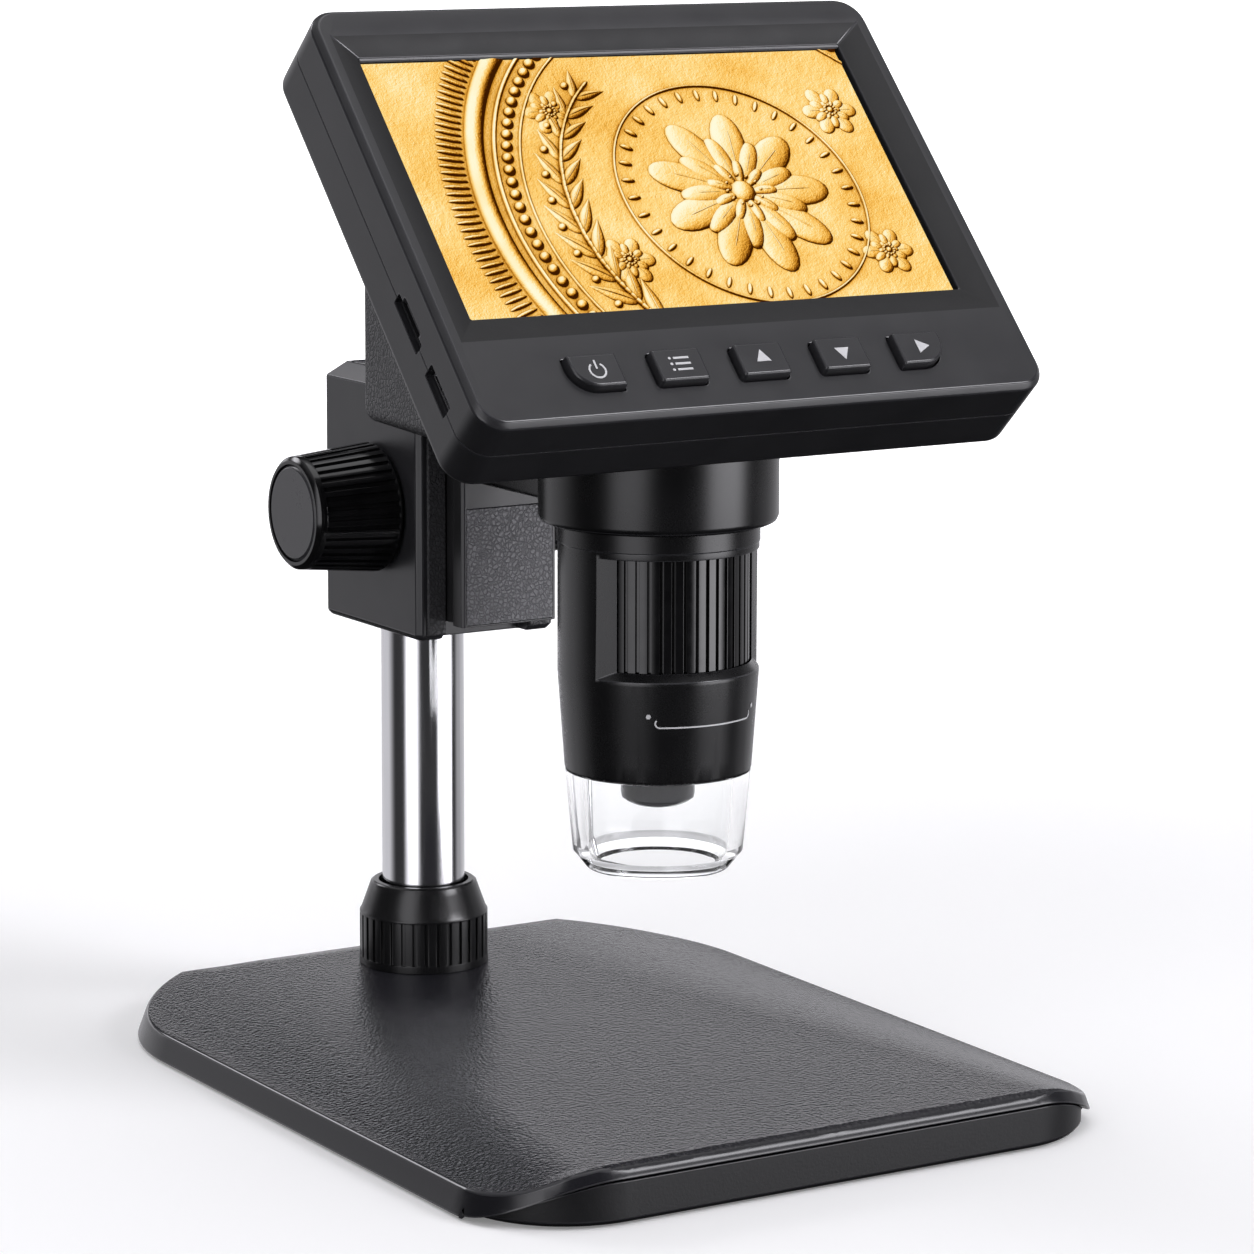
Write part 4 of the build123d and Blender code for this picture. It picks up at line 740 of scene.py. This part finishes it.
def blossom(bm, x, y, radius, petals, height=1.02):
    """Open flower: three rows of petals round a beaded eye."""
    rows = (                  # reach, height and turn by a share of a petal
        (radius, 0.78, 0.0), (radius * 0.70, 0.96, 0.5), (radius * 0.42, 1.06, 0.0),
    )
    for reach, lift, shift in rows:
        width = 2 * pi * reach * 0.62 / petals * 0.98
        for bearing, px, py in places_round((x, y), reach * 0.55, petals, 360 * shift / petals):
            inward = bearing + 180
            mound(bm, px, py, reach * 0.9, width, height * lift, inward, 0.55)
            vein = height * (lift + 0.14)
            mound(bm, px, py, reach * 0.78, width * 0.1, vein, inward, 0.6, fine=5)
    mound(bm, x, y, radius * 0.30, radius * 0.30, height * 1.22)
    for _, px, py in places_round((x, y), radius * 0.19, 12):
        mound(bm, px, py, 0.9, 0.9, height * 1.25, fine=5)


def flowers(bm):
    """Large flower in a ring of short strokes, and four small flowers."""
    blossom(bm, *FLOWER_CENTRE, FLOWER_RADIUS, 9)
    for x, y, radius in SMALL_FLOWERS:
        blossom(bm, x, y, radius, 6, 0.6)
    for bearing, x, y in places_round(FLOWER_CENTRE, FLOWER_RADIUS + 4.0, FLOWER_TICKS):
        mound(bm, x, y, 2.6, 1.0, 0.5, bearing, fine=6)
    raised_ring(bm, FLOWER_CENTRE, FLOWER_RADIUS + 6.1, 0.55, 0.4, steps=120)


def reeding(bm):
    """Fine reeds that point outwards from the rim."""
    for bearing, x, y in places_round(MEDAL_CENTRE, MEDAL_RADIUS + 4.6, MEDAL_REEDS):
        if in_window(x, y, 4):
            mound(bm, x, y, 5.2, 0.95, 0.55, bearing, base=PICTURE_GROUND - 0.05, fine=5)


def cut_to_window(bm, half_u, half_v):
    """Cuts off what reaches past the display's four sides."""
    sides = (((1, 0, 0), half_u), ((-1, 0, 0), half_u), ((0, 1, 0), half_v), ((0, -1, 0), half_v))
    for normal, reach in sides:
        bmesh.ops.bisect_plane(
            bm, geom=[*bm.verts, *bm.edges, *bm.faces], plane_co=Vector(normal) * reach,
            plane_no=normal, clear_outer=True,
        )


def medal_ground(bm, half_u, half_v):
    """Ground of the picture, which rises gently towards the rim."""
    ground = bmesh.ops.create_grid(bm, x_segments=60, y_segments=34, size=1.0)["verts"]
    bmesh.ops.scale(bm, verts=ground, vec=(half_u, half_v, 1))
    bmesh.ops.translate(bm, verts=ground, vec=(0, 0, PICTURE_GROUND + GROUND_LIFT))
    x, y = MEDAL_CENTRE
    for vert in ground:
        reach = hypot(vert.co.x - x, vert.co.y - y) / MEDAL_RADIUS
        if reach < FIELD_EDGE:
            vert.co.z += FIELD_RISE * reach ** 4 - GROUND_LIFT


def medal_picture():
    """Close view of an ornamental gold medal, as the display shows it."""
    bm = bmesh.new()
    half_u, half_v = SCREEN_WIDTH / 2 - PICTURE_GAP, SCREEN_HEIGHT / 2 - PICTURE_GAP
    medal_rim(bm)
    laurel(bm, MEDAL_RADIUS - 15.5, 218, 128, 11)
    flowers(bm)
    reeding(bm)
    cut_to_window(bm, half_u, half_v)
    medal_ground(bm, half_u, half_v)
    picture = make_piece("screen_picture", bm, "carriage", screen_gold, SCREEN_PLACE)
    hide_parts("screen_glass")
    picture.visible_diffuse = False
    picture.visible_glossy = False


def screen_top_highlight():
    """Slim light grey bar along the top of the display: a painted highlight."""
    bm = bmesh.new()
    half_u, half_v = SCREEN_WIDTH / 2, SCREEN_HEIGHT / 2
    bar(bm, -half_u, half_u, half_v - 0.5, half_v - PICTURE_GAP, -0.4, 0.1)
    make_piece("screen_top_highlight", bm, "carriage", highlight_grey, SCREEN_PLACE, smooth=False)


# ---------------------------------------------------------------- printed marks
def power_icon(x, low, high):
    """Open ring with a stroke in its gap."""
    bm = bmesh.new()
    radius, half, row = 1.45, 0.17, KEY_ROW - 0.2
    inner, outer = radius - half, radius + half
    start = Matrix.Rotation(radians(125), 4, "Z")
    centre = Vector((x, row, 0))
    section = [(inner, low), (outer, low), (outer, high), (inner, high)]
    verts = [bm.verts.new(start @ Vector((reach, 0, z)) + centre) for reach, z in section]
    face = bm.faces.new(verts)
    bmesh.ops.spin(
        bm, geom=[face, *face.edges, *face.verts], cent=(x, row, 0), axis=(0, 0, 1),
        angle=radians(290), steps=24,
    )
    bmesh.ops.recalc_face_normals(bm, faces=bm.faces)
    bar(bm, x - half, x + half, KEY_ROW + 0.1, KEY_ROW + 1.85, low, high)
    return bm


def list_icon(x, low, high):
    """Three dots, each with a bar beside it."""
    bm = bmesh.new()
    for y in (KEY_ROW - 1.15, KEY_ROW, KEY_ROW + 1.15):
        dot = bmesh.ops.create_cone(
            bm, cap_ends=True, segments=14, radius1=0.26, radius2=0.26, depth=high - low,
        )
        bmesh.ops.translate(bm, verts=dot["verts"], vec=(x - 1.75, y, (low + high) / 2))
        bar(bm, x - 1.05, x + 1.85, y - 0.2, y + 0.2, low, high)
    return bm


def triangle_icon(x, pointing, low, high):
    """Triangle that points this many degrees from the right."""
    bm = bmesh.new()
    corners = places_round((x, KEY_ROW + 0.1), 1.6, 3, pointing)
    slab(bm, [corner[1:] for corner in corners], low, high)
    return bm


def key_icons():
    """Raised print on the five keys."""
    print_low, print_high = KEY_FACE - PRINT_SINK, KEY_FACE + PRINT
    icons = (
        power_icon(-2 * KEY_PITCH, print_low, print_high),
        list_icon(-KEY_PITCH, print_low, print_high),
        triangle_icon(0.0, 90, print_low, print_high),
        triangle_icon(KEY_PITCH, -90, print_low, print_high),
        triangle_icon(2 * KEY_PITCH, 0, print_low, print_high),
    )
    for key, icon in zip(KEYS, icons):
        make_piece(f"icon_{key}", icon, f"key_{key}", icon_white, SCREEN_PLACE, smooth=False)


def sleeve_surface(z):
    """Radius of the body sleeve at a height, on its tapered part."""
    share = (z - SLEEVE_FOOT) / (SLEEVE_TAPER_TOP - SLEEVE_FOOT)
    return SLEEVE_FOOT_RADIUS + (SLEEVE_RADIUS - SLEEVE_FOOT_RADIUS) * min(share, 1.0)


def on_sleeve(bearing, z):
    """Place of a printed mark on the sleeve, by its angle in radians from the front."""
    radius = sleeve_surface(z) + PRINT
    return radius * sin(bearing), -radius * cos(bearing), z


def mark_line(bm):
    """Printed line round the front of the body."""
    ends = (MARK_HEIGHT - MARK_HALF, MARK_HEIGHT + MARK_HALF)
    verts = [bm.verts.new(on_sleeve(0.0, z)) for z in ends]
    strip = bm.edges.new(verts)
    start = Matrix.Rotation(radians(-MARK_SPAN), 3, "Z")
    bmesh.ops.rotate(bm, verts=verts, cent=(0, 0, 0), matrix=start)
    bmesh.ops.spin(
        bm, geom=[strip, *verts], cent=(0, 0, 0), axis=(0, 0, 1), angle=radians(2 * MARK_SPAN),
        steps=48,
    )


def mark_hook(bm, side):
    """Short upward hook at one end of the line."""
    hook = bmesh.ops.create_grid(bm, x_segments=10, y_segments=1, size=0.5)["verts"]
    for vert in hook:
        turn = radians(HOOK_TURN) * (vert.co.x + 0.5)
        reach = HOOK_RADIUS + MARK_HALF * 2 * vert.co.y
        past_line = reach * sin(turn) / MARK_RADIUS
        bearing = side * (radians(MARK_SPAN) + past_line)
        vert.co = on_sleeve(bearing, MARK_HEIGHT + HOOK_RADIUS - reach * cos(turn))


def mark_dot(bm, side):
    """Dot beyond one end of the line."""
    middle = side * radians(MARK_SPAN + DOT_BEYOND)
    dot = bmesh.ops.create_circle(bm, cap_ends=True, segments=20, radius=DOT_RADIUS)["verts"]
    for vert in dot:
        z = MARK_HEIGHT + DOT_RISE + vert.co.y
        vert.co = on_sleeve(middle + vert.co.x / (sleeve_surface(z) + PRINT), z)


def body_mark():
    """Thin printed line with a hook and a dot at each end, round the front of the body."""
    bm = bmesh.new()
    mark_line(bm)
    for side in (-1, 1):
        mark_hook(bm, side)
        mark_dot(bm, side)
    bmesh.ops.translate(bm, verts=bm.verts, vec=(0, BODY_Y, 0))
    bmesh.ops.recalc_face_normals(bm, faces=bm.faces)
    make_piece("body_mark", bm, "carriage", mark_white)


# --------------------------------------------------------------- shroud and lens
def shroud():
    """Clear tapered shroud with a bevelled foot ring."""
    bm = turned(SHROUD_OUTLINE, SHROUD_STEPS, closed=True)
    piece = make_piece("shroud_shell", bm, "carriage", shroud_acrylic)
    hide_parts("clear_shroud")
    round_edges(piece, SHROUD_EDGE)


def lens_dome():
    """Bulging front lens that covers the end of the barrel."""
    bm = turned(LENS_OUTLINE, LENS_STEPS, closed=False)
    piece = make_piece("lens_dome", bm, "barrel", lens_coated)
    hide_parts("objective_lens")
    round_edges(piece, 0.0)


# ----------------------------------------------------------------------- studio
def overhead_light():
    """Large soft light high over the object."""
    lamp = bpy.data.lights.new("overhead", "AREA")
    lamp.shape = "RECTANGLE"
    lamp.size = lamp.size_y = OVERHEAD_SIZE
    lamp.energy = OVERHEAD_POWER
    holder = bpy.data.objects.new("overhead", lamp)
    bpy.context.scene.collection.objects.link(holder)
    holder.location = OVERHEAD_PLACE
    aim = Vector(OVERHEAD_AIM) - Vector(OVERHEAD_PLACE)
    holder.rotation_euler = aim.to_track_quat("-Z", "Y").to_euler()
    holder.visible_camera = False


def paper_floor():
    """Pale paper that glows more with its distance, so that it fades to white."""
    bm = bmesh.new()
    bmesh.ops.create_grid(bm, x_segments=1, y_segments=1, size=PAPER_HALF)
    mesh = bpy.data.meshes.new("studio_floor")
    bm.to_mesh(mesh)
    bm.free()
    floor = bpy.data.objects.new("studio_floor", mesh)
    bpy.context.scene.collection.objects.link(floor)
    paper = Finish("floor_paper", (0.9, 0.9, 0.9), 0.9)
    paper.colour(paper.blend(paper.noise(3.0), (0.895, 0.895, 0.895), (0.905, 0.905, 0.905)))
    paper.set(Specular_IOR_Level=0.0, Emission_Color=(1.0, 1.0, 1.0, 1.0))
    reach = paper.vectors("LENGTH", paper.place)["Value"]
    glow = paper.between(reach, PAPER_NEAR, PAPER_FAR, PAPER_GLOW, 1.0, "SMOOTHSTEP")
    paper.feed(paper.shader.inputs["Emission Strength"], glow)
    mesh.materials.append(paper.material)
    floor.visible_glossy = False
    floor.visible_diffuse = False
    floor.visible_shadow = False


def light_box(tent, bearing, height, box):
    """Glow of one soft light box, for a ray's bearing and the sine of its elevation."""
    away = tent.calculate("ABSOLUTE", tent.calculate("SUBTRACT", bearing, radians(box["bearing"])))
    half, soft = radians(box["half"]), radians(box["soft"])
    across = tent.between(away, half - soft, half + soft, 1.0, 0.0, "SMOOTHSTEP")
    low, high = box["heights"]
    rise = tent.between(
        height, low - BOX_FEATHER, low + BOX_FEATHER, 0.0, box["glow"], "SMOOTHSTEP",
    )
    fall = tent.between(height, high - BOX_FEATHER, high + BOX_FEATHER, 1.0, 0.0, "SMOOTHSTEP")
    return tent.calculate("MULTIPLY", tent.calculate("MULTIPLY", rise, fall), across)


def surroundings():
    """Dark tent with a pale roof and soft light boxes all round."""
    world = bpy.data.worlds.new("studio")
    world.use_nodes = True
    tent = Pattern(world.node_tree)
    ray = tent.add("ShaderNodeTexCoord").outputs["Generated"]
    parts = tent.add("ShaderNodeSeparateXYZ", Vector=ray).outputs
    bearing = tent.calculate("ARCTAN2", parts["Y"], parts["X"])
    height = parts["Z"]
    light = tent.between(height, -0.6, 0.1, UNDERFOOT, TENT_DARK, "SMOOTHSTEP")
    roof = tent.between(height, 0.60, 0.85, 0.0, TENT_ROOF, "SMOOTHSTEP")
    light = tent.calculate("ADD", light, roof)
    for box in LIGHT_BOXES:
        light = tent.calculate("ADD", light, light_box(tent, bearing, height, box))
    backdrop = world.node_tree.nodes["Background"]
    tent.feed(backdrop.inputs["Color"], TENT_COLOUR)
    tent.feed(backdrop.inputs["Strength"], light)
    bpy.context.scene.world = world


def viewing_camera():
    """Camera at the front left, which looks down a little."""
    camera = bpy.data.cameras.new("camera")
    camera.lens = CAMERA_LENS
    camera.sensor_width = CAMERA_FILM
    camera.shift_x, camera.shift_y = CAMERA_SHIFT
    camera.clip_start, camera.clip_end = 0.05, 40.0
    holder = bpy.data.objects.new("camera", camera)
    bpy.context.scene.collection.objects.link(holder)
    holder.location = Vector(CAMERA_PLACE) * MM
    turn, drop = radians(CAMERA_TURN), radians(CAMERA_DROP)
    aim = Vector((-sin(turn) * cos(drop), cos(turn) * cos(drop), -sin(drop)))
    holder.rotation_mode = "QUATERNION"
    holder.rotation_quaternion = aim.to_track_quat("-Z", "Y")
    bpy.context.scene.camera = holder


finish_nodes()
medal_picture()
screen_top_highlight()
key_icons()
body_mark()
shroud()
lens_dome()
paper_floor()
surroundings()
overhead_light()
viewing_camera()
bpy.context.scene.view_settings.view_transform = "Standard"
